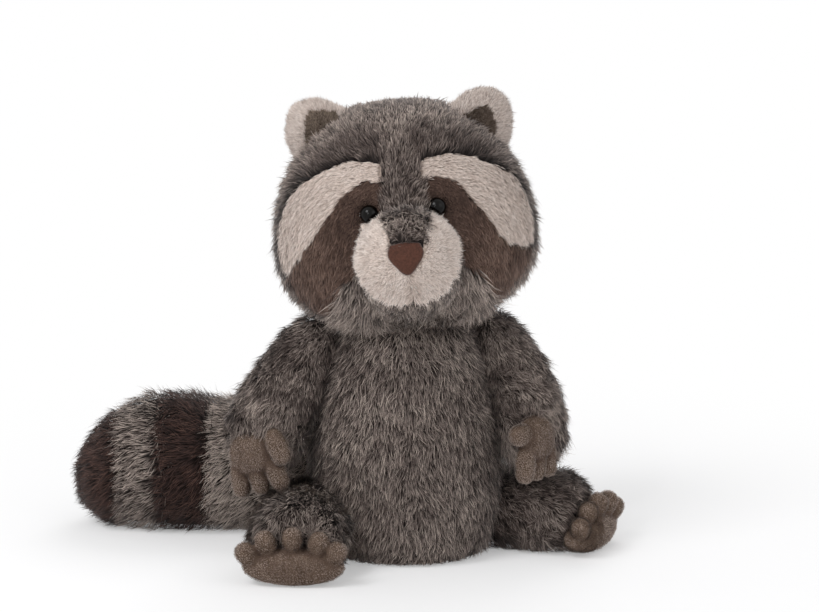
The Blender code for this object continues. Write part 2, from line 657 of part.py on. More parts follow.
def build_foot(side, sole, ankle, facing, floor):
    """A wide low sole against the end of the leg, with five puffed toes that rise from its upper edge."""
    across = Vector((0, 0, 1)).cross(facing).normalized()
    half_width = FOOT_WIDTH / 2
    half_height = SOLE_HEIGHT / 2
    middle = Vector((sole.x, sole.y, half_height * SOLE_RISE))
    stations = [(middle - facing * FOOT_LENGTH * share, across * half_width * wide,
                 Vector((0, 0, half_height * high))) for share, wide, high in SOLE_STATIONS]
    tuck = middle - facing * FOOT_LENGTH * SOLE_TUCK
    foot = soft_form("foot_" + side, stations, tuck, middle, PARTS)
    half_toe = TOE_WIDTH / 2
    for k, turn in enumerate(TOE_TURNS):
        out = cos(radians(turn))
        place = middle - facing * FOOT_LENGTH * TOE_SETBACK + across * out * (half_width - half_toe) * TOE_REACH
        place = place + Vector((0, 0, TOE_RISE + sin(radians(turn)) * TOE_ARCH))
        rise = (Vector((0, 0, 1)) + across * out * TOE_SPLAY + facing * TOE_LEAN).normalized()
        toe_path = [(place + rise * TOE_LENGTH * share, half_toe * wide, half_toe * wide)
                    for share, wide in TOE_STATIONS]
        join(foot, limb(f"toe_{k}_{side}", toe_path, CUTTERS, up=facing, sides=DIGIT_SIDES))
    cut(foot, beyond_plane("foot_back_" + side, ankle + facing * SEAM_GAP, -facing), floor)
    dress(foot, PAW_PLUSH)


def build_tail(torso_room, floor):
    """The stuffed tail: four sleeves of plush, sewn end to end, lying on the floor."""
    path = []
    root_back = TORSO_DEPTH / 2 * TAIL_ROOT_BACK
    for along, back, girth in TAIL_PATH:
        depth = root_back + (TAIL_BACK - root_back) * back
        point = Vector((along * TAIL_REACH, depth, TAIL_RADIUS * girth * TAIL_SQUASH))
        path.append((point, TAIL_RADIUS * girth, TAIL_RADIUS * girth))
    whole = limb("tail_form", path, CUTTERS)
    cut(whole, torso_room, floor)
    tip = -CUTTER_REACH
    first = -TAIL_REACH + TAIL_TIP_BAND
    second = first + TAIL_GREY_BAND
    third = second + TAIL_BROWN_BAND
    bands = [("tail_tip", tip, first, BROWN_PLUSH), ("tail_band_grey", first, second, GREY_PLUSH),
             ("tail_band_brown", second, third, BROWN_PLUSH), ("tail_base", third, CUTTER_REACH, GREY_PLUSH)]
    for name, start, end, colour in bands:
        sleeve = baked(whole, name, PARTS)
        reach = CUTTER_REACH
        span = block(name + "_span", (start + SEAM_GAP / 2, -reach, -reach), (end - SEAM_GAP / 2, reach, reach))
        keep_inside(sleeve, span)
        dress(sleeve, colour)


def build_all():
    floor = block("floor_plane", (-CUTTER_REACH, -CUTTER_REACH, -CUTTER_REACH), (CUTTER_REACH, CUTTER_REACH, 0))
    head_room = build_head()
    torso_room = torso_form("torso_clearance", SEAM_GAP, CUTTERS)
    torso = torso_form("torso", 0, PARTS)
    cut(torso, head_room, floor)
    dress(torso, GREY_PLUSH)
    for side, sign in SIDES.items():
        build_arm(side, sign, torso_room, head_room)
        build_leg(side, sign, torso_room, floor)
    build_tail(torso_room, floor)


clear_scene()
PARTS = new_collection("plush_raccoon")
CUTTERS = new_collection("plush_raccoon_cutters")

HEAD_CENTRE = Vector((HEAD_SHIFT, -HEAD_FORWARD, TORSO_HEIGHT - NECK_SINK - HEAD_BOTTOM * HEAD_HEIGHT))
FACE_FRAME = (Matrix.Translation(HEAD_CENTRE) @ Matrix.Rotation(-FACE_TILT, 4, "X")
              @ Matrix.Rotation(-HEAD_ROLL, 4, "Y"))
HEAD_FRAME = FACE_FRAME @ Matrix.Rotation(FACE_TILT, 4, "X")
FACE_DEPTH = -HEAD_DEPTH / 2

build_all()
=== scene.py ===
"""Plush raccoon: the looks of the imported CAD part.

Every soft CAD solid gets a smooth skin of cloth, and a pile of fibres that is combed, tousled and coloured
as plush is. The fibres are made by one Geometry Nodes group and then kept as plain meshes.
Lengths are in metres, +Z is up, and the toy faces -Y. Left and right are the toy's own.
"""

from __future__ import annotations

import sys

import logging
import math
from dataclasses import dataclass, field, replace
from enum import Enum
from typing import Iterable, Sequence

import bmesh
import bpy
import numpy as np
from mathutils import Matrix, Vector
from mathutils.bvhtree import BVHTree

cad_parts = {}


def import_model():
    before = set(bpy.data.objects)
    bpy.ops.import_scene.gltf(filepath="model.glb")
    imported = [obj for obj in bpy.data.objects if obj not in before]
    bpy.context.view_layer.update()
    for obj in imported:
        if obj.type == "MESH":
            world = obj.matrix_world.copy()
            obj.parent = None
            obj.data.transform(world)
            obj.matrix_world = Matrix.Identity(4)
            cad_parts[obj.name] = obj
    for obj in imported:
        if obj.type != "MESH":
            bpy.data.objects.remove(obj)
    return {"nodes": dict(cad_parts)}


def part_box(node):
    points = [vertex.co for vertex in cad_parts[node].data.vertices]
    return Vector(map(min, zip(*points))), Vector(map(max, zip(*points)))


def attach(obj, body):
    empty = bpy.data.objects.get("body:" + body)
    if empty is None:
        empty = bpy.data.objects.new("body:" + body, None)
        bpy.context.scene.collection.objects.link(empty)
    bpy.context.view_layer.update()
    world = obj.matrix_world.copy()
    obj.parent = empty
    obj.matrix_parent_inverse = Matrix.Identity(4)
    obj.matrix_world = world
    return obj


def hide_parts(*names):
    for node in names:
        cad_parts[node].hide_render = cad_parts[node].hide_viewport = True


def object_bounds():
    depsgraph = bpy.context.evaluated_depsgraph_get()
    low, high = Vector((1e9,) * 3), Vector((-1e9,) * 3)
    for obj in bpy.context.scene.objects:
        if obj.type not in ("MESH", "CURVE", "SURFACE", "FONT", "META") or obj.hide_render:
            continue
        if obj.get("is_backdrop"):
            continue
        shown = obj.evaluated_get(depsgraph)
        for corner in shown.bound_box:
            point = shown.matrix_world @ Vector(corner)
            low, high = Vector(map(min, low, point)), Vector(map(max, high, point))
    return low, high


Array = np.ndarray
Outline = Sequence[tuple[float, float]]
Way = tuple[float, float, float]
Socket = bpy.types.NodeSocket

LOG = logging.getLogger("plush_raccoon")
VECTOR = "FLOAT_VECTOR"
BAKE_MAP = "OFBake"
MAP_LOW, MAP_SPAN = 0.04, 0.92
SHADE_HALF_WIDTH = 0.006
NOISE_GAIN = 3.2
WIDE_TUFT = 3.6
FLOOR_CLEARANCE = 0.0004
WELD_GAP = 0.00002
PANEL_RISE = 0.0023
CONTACT_START, CONTACT_REACH = 0.0004, 0.0030
SOLE_HEIGHT, SOLE_NORMAL = 0.0025, -0.75
# How the skin's hollows are measured for the painted shade in them, and the depth at which it is full.
HOLLOW_STEPS, HOLLOW_DEPTH = 14, 0.0007
PILE_ROUGHNESS, PILE_SHEEN = 0.78, 0.12
SMOOTH_GRAIN = (2.0, 0.5, 0.15)
FAMILIES = (("head_panel", "head_stuffing", "chin_panel", "muzzle_panel", "brow_band_left", "brow_band_right",
             "mask_panel_left", "mask_panel_right"),
            ("ear_left", "ear_lining_left"), ("ear_right", "ear_lining_right"))


class Slot(Enum):
    """The names of the record's material slots."""

    GREY = "grey_plush"
    BROWN = "brown_plush"
    CREAM = "cream_plush"
    DARK = "dark_plush"
    PAW = "paw_plush"
    NOSE = "nose_suede"
    EYE = "eye_plastic"


def linear(code: str) -> tuple[float, float, float, float]:
    """Turn a hex sRGB colour into the linear colour that a shader takes.

    Args:
        code: a hash and six hex digits.

    Returns:
        Red, green, blue and an alpha of one.
    """
    parts = [int(code[k:k + 2], 16) / 255 for k in (1, 3, 5)]
    values = [part / 12.92 if part <= 0.04045 else ((part + 0.055) / 1.055) ** 2.4 for part in parts]
    return (*values, 1.0)


def unit(vectors: Array) -> Array:
    """Scale each row of an array to length one."""
    return vectors / np.maximum(np.linalg.norm(vectors, axis=-1, keepdims=True), 1e-9)


def rises(values: Array, low: float, high: float) -> Array:
    """Rise smoothly from nought at low to one at high."""
    share = np.clip((values - low) / (high - low), 0.0, 1.0)
    return share * share * (3 - 2 * share)


def falls(values: Array, low: float, high: float) -> Array:
    """Fall smoothly from one at low to nought at high."""
    return 1 - rises(values, low, high)


def peak(values: Array, middle: float, width: float) -> Array:
    """A bell that is one at the middle."""
    return np.exp(-((values - middle) / width) ** 2)


def inside(spots: Array, outline: Outline) -> Array:
    """Which flat points lie inside a closed outline.

    Args:
        spots: points, two numbers each.
        outline: the outline's corners in order.

    Returns:
        True or False for each point.
    """
    held = np.zeros(len(spots), bool)
    x, y = spots[:, 0], spots[:, 1]
    for (x0, y0), (x1, y1) in zip(outline, [*outline[1:], outline[0]]):
        rise = y1 - y0 if abs(y1 - y0) > 1e-12 else 1e-12
        held ^= ((y0 > y) != (y1 > y)) & (x < (x1 - x0) * (y - y0) / rise + x0)
    return held


@dataclass(frozen=True)
class PileFinish:
    """The colours of one plush cloth.

    Attributes:
        name: the first word of its materials' names.
        slot: the record's material slot; not used.
        root: the colour deep in the pile.
        dark: the tip colour of its darkest fibres.
        middle: the tip colour of most fibres.
        pale: the tip colour of its palest fibres.
        cloth: the name, darker colour and paler colour of the cloth under the pile.
        root_share: how far up a fibre the root colour reaches.
    """

    name: str
    slot: Slot
    root: str
    dark: str
    middle: str
    pale: str
    cloth: tuple[str, str, str]
    root_share: float = 0.38


@dataclass(frozen=True)
class PileCut:
    """How the fibres of one cloth stand.

    Attributes:
        length: the usual fibre length.
        width: the widest part of a fibre.
        fibres: how many fibres the piece has.
        lean: nought for fibres that stand up, one for fibres that lie down.
        tousle: how far neighbouring tufts turn away from the comb direction.
        scatter: how far single fibres turn away from their tuft.
        tuft: the size of a tuft.
        swell: how much the tufts differ in length.
        region: how much whole tufts differ in shade.
        spread: how much single fibres differ in shade.
        sag: how much the tips drop.
        seed: the random seed.
    """

    length: float
    width: float
    fibres: int
    lean: float = 0.60
    tousle: float = 0.45
    scatter: float = 0.30
    tuft: float = 0.006
    swell: float = 0.22
    region: float = 0.9
    spread: float = 0.95
    sag: float = 0.10
    seed: int = 1


CREAM_CLOTH = ("cream_cloth", "#9d8c81", "#b9a99e")
GREY = PileFinish("grey_pile", Slot.GREY, "#211a18", "#4a3e39", "#90817a", "#d2c2b6",
                  ("grey_cloth", "#181413", "#27211f"), 0.42)
BROWN = PileFinish("brown_pile", Slot.BROWN, "#150c0a", "#2c1c18", "#46302a", "#6b4f45",
                   ("brown_cloth", "#120a08", "#1f1411"))
MASK = PileFinish("mask_pile", Slot.BROWN, "#2a1e19", "#4c3931", "#72594d", "#9d8274",
                  ("mask_cloth", "#221814", "#33261f"))
CREAM = PileFinish("cream_pile", Slot.CREAM, "#a38f83", "#dac9be", "#f9eae0", "#fff6ef", CREAM_CLOTH, 0.25)
EAR = PileFinish("ear_pile", Slot.CREAM, "#94837a", "#c3b2a8", "#e0d2c9", "#f3e9e2", CREAM_CLOTH, 0.25)
LINING = PileFinish("lining_pile", Slot.DARK, "#2a211c", "#493c33", "#6d5e53", "#948374",
                    ("lining_cloth", "#1d1613", "#322822"))
PAW = PileFinish("paw_pile", Slot.PAW, "#3f302a", "#55433a", "#8d776c", "#cbb6a8",
                 ("paw_cloth", "#4a3b31", "#6c5a4d"), 0.35)


class NodeCanvas:
    """A short way to write a node tree: every call adds one node and links what it is given."""

    def __init__(self, tree: bpy.types.NodeTree) -> None:
        """Keep the tree that the nodes go into."""
        self.tree = tree

    @staticmethod
    def pick(sockets: Iterable, key: str | int) -> Socket:
        """Find a socket by its place, or the one in use of those that share a name."""
        if isinstance(key, int):
            return sockets[key]
        return next(socket for socket in sockets if socket.name == key and socket.enabled)

    def fill(self, node: bpy.types.Node, inputs: dict) -> None:
        """Link or set a node's inputs.

        Args:
            node: the node.
            inputs: socket name or place, to a plain value or to another node's output.
        """
        for key, value in inputs.items():
            socket = self.pick(node.inputs, key)
            if isinstance(value, Socket):
                self.tree.links.new(value, socket)
            else:
                socket.default_value = value

    def add(self, kind: str, inputs: dict | None = None, **settings: object) -> bpy.types.Node:
        """Add a node.

        Args:
            kind: the node's type name.
            inputs: what goes into it, as fill takes it.
            settings: the node's own properties.

        Returns:
            The new node.
        """
        node = self.tree.nodes.new(kind)
        for key, value in settings.items():
            setattr(node, key, value)
        self.fill(node, inputs or {})
        return node

    def get(self, kind: str, inputs: dict | None = None, key: str | int = 0, **settings: object) -> Socket:
        """Add a node and take one of its outputs, found by its name or place."""
        return self.pick(self.add(kind, inputs, **settings).outputs, key)

    def math(self, operation: str, *values: object, clamp: bool = False) -> Socket:
        """A Math node's result."""
        return self.get("ShaderNodeMath", dict(enumerate(values)), operation=operation, use_clamp=clamp)

    def times(self, first: object, second: object, clamp: bool = False) -> Socket:
        """The product of two numbers."""
        return self.math("MULTIPLY", first, second, clamp=clamp)

    def plus(self, first: object, second: object, clamp: bool = False) -> Socket:
        """The sum of two numbers."""
        return self.math("ADD", first, second, clamp=clamp)

    def vector(self, operation: str, *vectors: object, key: str = "Vector") -> Socket:
        """A Vector Math node's result."""
        return self.get("ShaderNodeVectorMath", dict(enumerate(vectors)), key, operation=operation)

    def scale(self, vector: object, amount: object) -> Socket:
        """A vector times a number."""
        return self.get("ShaderNodeVectorMath", {"Vector": vector, "Scale": amount}, "Vector",
                        operation="SCALE")

    def reach(self, vector: object, length: object) -> Socket:
        """A vector brought to a length."""
        return self.scale(self.vector("NORMALIZE", vector), length)

    def total(self, *vectors: object) -> Socket:
        """The sum of several vectors."""
        whole = vectors[0]
        for part in vectors[1:]:
            whole = self.vector("ADD", whole, part)
        return whole

    def named(self, name: str, kind: str = VECTOR) -> Socket:
        """A named attribute of the geometry."""
        return self.get("GeometryNodeInputNamedAttribute", {"Name": name}, "Attribute", data_type=kind)

    def store(self, geometry: Socket, name: str, value: Socket, kind: str = VECTOR,
              domain: str = "POINT") -> Socket:
        """The geometry with a value stored on it as a named attribute."""
        return self.get("GeometryNodeStoreNamedAttribute",
                        {"Geometry": geometry, "Name": name, "Value": value}, data_type=kind, domain=domain)


class PileGroup:
    """The Geometry Nodes group that grows a pile on a skin.

    The skin carries five attributes: comb, the way the pile lies; upright, the skin's normal; pile, the
    fibre length at each point; tone, a shift of shade; and grow, the share of the full density.
    """

    FLOATS = ("Density", "Width", "Lean", "Tousle", "Scatter", "Tuft", "Swell", "Region", "Spread", "Sag")
    SPENT = ("blade", "middle", "tip", "side", "shade", "comb", "upright", "pile", "tone", "grow")

    def __init__(self) -> None:
        """Build the group, with its named inputs."""
        self.tree = bpy.data.node_groups.new("plush_pile", "GeometryNodeTree")
        self.net = NodeCanvas(self.tree)
        interface = self.tree.interface
        interface.new_socket("Geometry", in_out="INPUT", socket_type="NodeSocketGeometry")
        kinds = dict.fromkeys(self.FLOATS, "Float") | {"Seed": "Int", "Material": "Material"}
        self.identifiers = {name: interface.new_socket(name, in_out="INPUT",
                                                       socket_type="NodeSocket" + kind).identifier
                            for name, kind in kinds.items()}
        interface.new_socket("Geometry", in_out="OUTPUT", socket_type="NodeSocketGeometry")
        self.value = {socket.name: socket for socket in self.net.add("NodeGroupInput").outputs}
        self._finish(self._blades(self._roots()))

    def _random(self, low: float, high: float, offset: int) -> Socket:
        """A random number for each fibre, with its own seed."""
        own = self.net.plus(self.value["Seed"], float(offset))
        return self.net.get("FunctionNodeRandomValue", {"Min": low, "Max": high, "Seed": own}, "Value",
                            data_type="FLOAT")

    def _stray(self, offset: int, amount: object) -> Socket:
        """A random vector for each fibre, with its own seed."""
        own = self.net.plus(self.value["Seed"], float(offset))
        return self.net.scale(self.net.get("FunctionNodeRandomValue",
                                           {"Min": (-1, -1, -1), "Max": (1, 1, 1), "Seed": own}, "Value",
                                           data_type=VECTOR), amount)

    def _noise(self, size: object, shift: float, part: str = "Fac") -> Socket:
        """Noise over the skin, with features of a given size, from -1 to 1 or so."""
        net = self.net
        place = net.vector("ADD", net.get("GeometryNodeInputPosition"), (shift, shift * 0.37, -shift))
        noise = net.get("ShaderNodeTexNoise", {"Vector": place, "Scale": net.math("DIVIDE", 1.0, size),
                                               "Detail": 1.0}, part)
        if part == "Color":
            return net.scale(net.vector("SUBTRACT", noise, (0.5, 0.5, 0.5)), NOISE_GAIN)
        return net.times(net.math("SUBTRACT", noise, 0.5), NOISE_GAIN)

    def _roots(self) -> Socket:
        """Scatter the fibres' roots, and store on each how its fibre stands and its shade."""
        net, value, random = self.net, self.value, self._random
        tuft, tousle, scatter = value["Tuft"], value["Tousle"], value["Scatter"]
        points = net.get("GeometryNodeDistributePointsOnFaces",
                         {"Mesh": value["Geometry"], "Seed": value["Seed"],
                          "Density": net.times(value["Density"], net.named("grow", "FLOAT"))}, "Points",
                         distribute_method="RANDOM")
        normal = net.vector("NORMALIZE", net.named("upright"))
        wide = net.times(tuft, WIDE_TUFT)

        mixed = net.total(net.named("comb"), net.scale(self._noise(tuft, 0.31, "Color"), tousle),
                          net.scale(net.scale(self._noise(wide, 1.7, "Color"), tousle), 0.8),
                          self._stray(11, scatter))
        sunk = net.scale(normal, net.vector("DOT_PRODUCT", mixed, normal, key="Value"))
        way = net.vector("NORMALIZE", net.vector("SUBTRACT", mixed, sunk))
        lean = net.plus(net.plus(value["Lean"], random(-0.16, 0.16, 23)),
                        net.times(self._noise(tuft, 4.4), 0.10), clamp=True)
        stand = net.math("SUBTRACT", 1.0, lean)
        rise = net.total(net.scale(normal, net.times(stand, 1.35)), net.scale(way, lean))
        sag = net.get("ShaderNodeCombineXYZ", {"Z": net.times(value["Sag"], -1.0)})
        fall = net.total(net.scale(normal, net.times(stand, 0.60)), net.scale(way, net.plus(lean, 0.15)),
                         sag, self._stray(29, net.times(scatter, 0.6)))

        swell = net.times(self._noise(tuft, 2.9), value["Swell"])
        few = net.times(net.math("POWER", random(0.0, 1.0, 31), 14.0), 0.35)
        length = net.times(net.times(net.named("pile", "FLOAT"), net.plus(1.0, swell)),
                           net.plus(random(0.62, 1.10, 37), few))
        half = net.times(length, 0.5)
        turned = net.total(net.vector("CROSS_PRODUCT", normal, way), net.scale(normal, random(-0.8, 0.8, 41)))
        half_width = net.times(value["Width"], random(0.30, 0.62, 43))

        patch = net.times(net.times(net.plus(self._noise(tuft, 5.3), self._noise(wide, 7.1)),
                                    value["Region"]), 0.22)
        single = net.times(random(-0.5, 0.5, 61), value["Spread"])
        shade = net.plus(net.plus(net.plus(patch, single), net.named("tone", "FLOAT")), 0.5, clamp=True)
        for name, held in (("middle", net.reach(rise, half)), ("tip", net.reach(fall, half)),
                           ("side", net.reach(turned, half_width)),
                           ("soft", net.total(normal, net.scale(way, 0.12), self._stray(53, 0.25)))):
            points = net.store(points, name, held)
        return net.store(points, "shade", net.math("MULTIPLY_ADD", shade, MAP_SPAN, MAP_LOW), "FLOAT")

    def _blades(self, points: Socket) -> Socket:
        """Put a four-cornered fibre on each root, bend it into place and give it its map."""
        net = self.net
        grid = net.get("GeometryNodeMeshGrid", {"Size X": 1.0, "Size Y": 1.0, "Vertices X": 2,
                                                "Vertices Y": 2}, "Mesh")
        blade = net.store(grid, "blade", net.get("GeometryNodeInputPosition"))
        folded = net.get("GeometryNodeTriangulate", {"Mesh": blade}, "Mesh", quad_method="FIXED_ALTERNATE")
        spawn = net.get("GeometryNodeInstanceOnPoints",
                        {"Points": points, "Instance": folded, "Scale": (0, 0, 0)})
        whole = net.get("GeometryNodeRealizeInstances", {"Geometry": spawn})

        corner = net.add("ShaderNodeSeparateXYZ", {"Vector": net.named("blade")}).outputs
        share = net.math("MULTIPLY_ADD", net.plus(corner["X"], corner["Y"]), 0.5, 0.5)
        beside = net.math("SUBTRACT", corner["Y"], corner["X"])
        offset = net.total(net.scale(net.named("middle"), net.times(share, 2.0, clamp=True)),
                           net.scale(net.named("tip"), net.math("MULTIPLY_ADD", share, 2.0, -1.0, clamp=True)),
                           net.scale(net.named("side"), beside))
        moved = net.get("GeometryNodeSetPosition", {"Geometry": whole, "Offset": offset})
        here = net.add("ShaderNodeSeparateXYZ", {"Vector": net.get("GeometryNodeInputPosition")}).outputs
        floor = net.get("ShaderNodeCombineXYZ", {"X": here["X"], "Y": here["Y"],
                                                 "Z": net.math("MAXIMUM", here["Z"], FLOOR_CLEARANCE)})
        grounded = net.get("GeometryNodeSetPosition", {"Geometry": moved, "Position": floor})
        spot = net.get("ShaderNodeCombineXYZ", {
            "X": net.math("MULTIPLY_ADD", beside, SHADE_HALF_WIDTH, net.named("shade", "FLOAT")),
            "Y": net.math("MULTIPLY_ADD", share, MAP_SPAN, MAP_LOW)})
        return net.store(grounded, BAKE_MAP, spot, "FLOAT2", "CORNER")

    def _finish(self, fibres: Socket) -> None:
        """Drop what the fibres no longer need, and give them their material."""
        for name in self.SPENT:
            fibres = self.net.get("GeometryNodeRemoveAttribute", {"Geometry": fibres, "Name": name})
        dressed = self.net.get("GeometryNodeSetMaterial", {"Geometry": fibres,
                                                           "Material": self.value["Material"]})
        self.net.add("NodeGroupOutput", {0: dressed})

    def grow(self, skin: bpy.types.Object, name: str, cut: PileCut, finish: bpy.types.Material,
             area: float) -> bpy.types.Object:
        """Grow a pile on a skin and keep it as a plain mesh.

        Args:
            skin: the skin, with its five attributes.
            name: the new piece's name.
            cut: how the fibres stand.
            finish: the fibres' material.
            area: the area that the pile grows on, weighted by its density.

        Returns:
            The pile as an object with no modifier.
        """
        source = linked(name + "_source", skin.data)
        growth = source.modifiers.new("pile", "NODES")
        growth.node_group = self.tree
        values = {key: getattr(cut, key.lower()) for key in self.FLOATS if key != "Density"}
        values |= {"Density": cut.fibres / max(area, 1e-9), "Seed": cut.seed, "Material": finish}
        for key, held in values.items():
            growth[self.identifiers[key]] = held
        mesh = evaluated(source, name, preserve_all_data_layers=True)
        soft = np.zeros(len(mesh.vertices) * 3, np.float32)
        mesh.attributes["soft"].data.foreach_get("vector", soft)
        mesh.attributes.remove(mesh.attributes["soft"])
        mesh.shade_smooth()
        mesh.normals_split_custom_set_from_vertices(unit(soft.reshape(-1, 3)))
        return linked(name, mesh)


def background_rays(net: NodeCanvas) -> Socket:
    """One for the rays that show the background, seen straight, mirrored or through glass."""
    path = net.add("ShaderNodeLightPath").outputs
    seen = net.math("MAXIMUM", path["Is Camera Ray"], path["Is Glossy Ray"])
    return net.math("MAXIMUM", seen, path["Is Transmission Ray"])


class Finishes:
    """Makes and keeps the materials."""

    def __init__(self) -> None:
        """Start with no material made."""
        self.made: dict[str, bpy.types.Material] = {}

    def _new(self, name: str) -> tuple[bpy.types.Material, NodeCanvas, bpy.types.Node]:
        """Start a material, and keep it by its name."""
        material = self.made[name] = bpy.data.materials.new(name)
        material.use_nodes = True
        return material, NodeCanvas(material.node_tree), material.node_tree.nodes["Principled BSDF"]

    @staticmethod
    def _ramp(net: NodeCanvas, factor: Socket, *stops: tuple[float, Sequence[float]]) -> Socket:
        """A colour ramp's result."""
        node = net.add("ShaderNodeValToRGB", {"Fac": factor})
        elements = node.color_ramp.elements
        while len(elements) < len(stops):
            elements.new(0.5)
        for element, (place, colour) in zip(elements, stops):
            element.position, element.color = place, colour
        return node.outputs["Color"]

    def pile(self, finish: PileFinish) -> bpy.types.Material:
        """The fibres' material: shade across the map, and root to tip up it.

        Args:
            finish: the cloth's colours.

        Returns:
            The material.
        """
        if finish.name in self.made:
            return self.made[finish.name]
        material, net, shader = self._new(finish.name)
        spot = net.add("ShaderNodeSeparateXYZ", {"Vector": net.get("ShaderNodeUVMap", uv_map=BAKE_MAP)})
        tips = self._ramp(net, spot.outputs["X"], (MAP_LOW, linear(finish.dark)),
                          (0.5, linear(finish.middle)), (MAP_LOW + MAP_SPAN, linear(finish.pale)))
        rise = self._ramp(net, spot.outputs["Y"], (MAP_LOW, (0, 0, 0, 1)),
                          (finish.root_share, (0.14, 0.14, 0.14, 1)), (0.85, (1, 1, 1, 1)))
        colour = net.get("ShaderNodeMix", {"Factor": rise, "A": linear(finish.root), "B": tips}, "Result",
                         data_type="RGBA")
        net.fill(shader, {"Base Color": colour, "Roughness": PILE_ROUGHNESS, "Specular IOR Level": 0.25,
                          "Sheen Weight": PILE_SHEEN, "Sheen Roughness": 0.5})
        return material

    def mottled(self, name: str, low: str, high: str, size: float, roughness: float = 0.9,
                gloss: float = 0.2, bump: float = 0.0,
                grain: tuple[float, float, float] = (4.0, 0.65, 0.20)) -> bpy.types.Material:
        """Cloth or plastic with a mottled colour.

        Args:
            name: the material's name.
            low: the darker colour.
            high: the paler colour.
            size: the size of the mottling.
            roughness: how matt the surface is.
            gloss: the strength of its reflections.
            bump: the depth of its grain, or nought for none.
            grain: the mottling's detail and roughness, and half its span between the colours.

        Returns:
            The material.
        """
        if name in self.made:
            return self.made[name]
        material, net, shader = self._new(name)
        spot = net.get("ShaderNodeTexCoord", key="Object")
        detail, rough, span = grain
        noise = net.get("ShaderNodeTexNoise", {"Vector": spot, "Scale": 1.0 / size, "Detail": detail,
                                               "Roughness": rough}, "Fac")
        colour = self._ramp(net, noise, (0.5 - span, linear(low)), (0.5 + span, linear(high)))
        net.fill(shader, {"Base Color": colour, "Roughness": roughness, "Specular IOR Level": gloss})
        if bump:
            height = net.get("ShaderNodeTexNoise", {"Vector": spot, "Scale": 3.0 / size, "Detail": 3.0}, "Fac")
            relief = net.get("ShaderNodeBump", {"Height": height, "Distance": bump, "Strength": 0.8})
            net.fill(shader, {"Normal": relief, "Sheen Weight": 0.25})
        return material

    def floor(self) -> bpy.types.Material:
        """A white floor that takes shadows near the toy and fades into the white background."""
        material, net, shader = self._new("studio_floor")
        net.fill(shader, {"Base Color": linear("#fafafb"), "Roughness": 0.9, "Specular IOR Level": 0.0})
        far = net.vector("LENGTH", net.get("ShaderNodeTexCoord", key="Object"), key="Value")
        fade = net.get("ShaderNodeMapRange", {"Value": far, "From Min": 0.16, "From Max": 0.55,
                                              "To Min": 0.35, "To Max": 1.0},
                       interpolation_type="SMOOTHSTEP")
        glow = net.get("ShaderNodeEmission", {"Color": (1, 1, 1, 1), "Strength": 1.0})
        mix = net.get("ShaderNodeMixShader", {0: net.times(background_rays(net), fade),
                                              1: shader.outputs[0], 2: glow})
        net.fill(material.node_tree.nodes["Material Output"], {"Surface": mix})
        return material


def linked(name: str, data: bpy.types.ID) -> bpy.types.Object:
    """A new object in the scene."""
    item = bpy.data.objects.new(name, data)
    bpy.context.scene.collection.objects.link(item)
    return item


def solid(name: str, shape: bmesh.types.BMesh) -> bpy.types.Object:
    """A new object made of a worked shape, which is freed."""
    mesh = bpy.data.meshes.new(name)
    shape.to_mesh(mesh)
    shape.free()
    return linked(name, mesh)


def evaluated(item: bpy.types.Object, name: str, **options: bool) -> bpy.types.Mesh:
    """The plain mesh that an object's modifiers make; the object is removed.

    Args:
        item: the object.
        name: the mesh's name.
        options: how the mesh is kept.

    Returns:
        The mesh.
    """
    bpy.context.view_layer.update()
    graph = bpy.context.evaluated_depsgraph_get()
    mesh = bpy.data.meshes.new_from_object(item.evaluated_get(graph), depsgraph=graph, **options)
    bpy.data.objects.remove(item, do_unlink=True)
    mesh.name = name
    return mesh


def enter(piece: bpy.types.Object, node: str | None = None) -> int:
    """Hang a piece under the body's root, hide the CAD node that it stands for, and report how many triangles
    it has.

    Args:
        piece: the piece.
        node: the CAD node that it stands for, if any.

    Returns:
        How many triangles it has.
    """
    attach(piece, "root")
    if node:
        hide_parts(node)
    count = sum(len(polygon.vertices) - 2 for polygon in piece.data.polygons)
    LOG.info("%s: %d triangles", piece.name, count)
    return count


def read_vertices(item: bpy.types.Object, key: str = "co") -> Array:
    """The places of a mesh object's vertices, or their normals."""
    flat = np.zeros(len(item.data.vertices) * 3, np.float32)
    item.data.vertices.foreach_get(key, flat)
    return flat.reshape(-1, 3).astype(float)


def place_points(item: bpy.types.Object, points: Array) -> None:
    """Move the vertices of a mesh object."""
    item.data.vertices.foreach_set("co", np.ascontiguousarray(points, dtype=np.float32).ravel())
    item.data.update()


def centres_of(item: bpy.types.Object) -> Array:
    """The middles of a mesh object's faces."""
    return np.array([face.center for face in item.data.polygons])


def hollows(item: bpy.types.Object, points: Array, normals: Array) -> Array:
    """How far each vertex lies below its smoothed surroundings, less than nought on a ridge.

    Args:
        item: the mesh object.
        points: its vertices.
        normals: its vertex normals.

    Returns:
        A depth for each vertex.
    """
    ends = np.zeros(len(item.data.edges) * 2, np.int32)
    item.data.edges.foreach_get("vertices", ends)
    first, second = ends.reshape(-1, 2).T
    smoothed = points.copy()
    for _ in range(HOLLOW_STEPS):
        total, count = smoothed.copy(), np.ones((len(points), 1))
        for own, other in ((first, second), (second, first)):
            np.add.at(total, own, smoothed[other])
            np.add.at(count, own, 1.0)
        smoothed = total / count
    return np.sum((smoothed - points) * normals, axis=1)


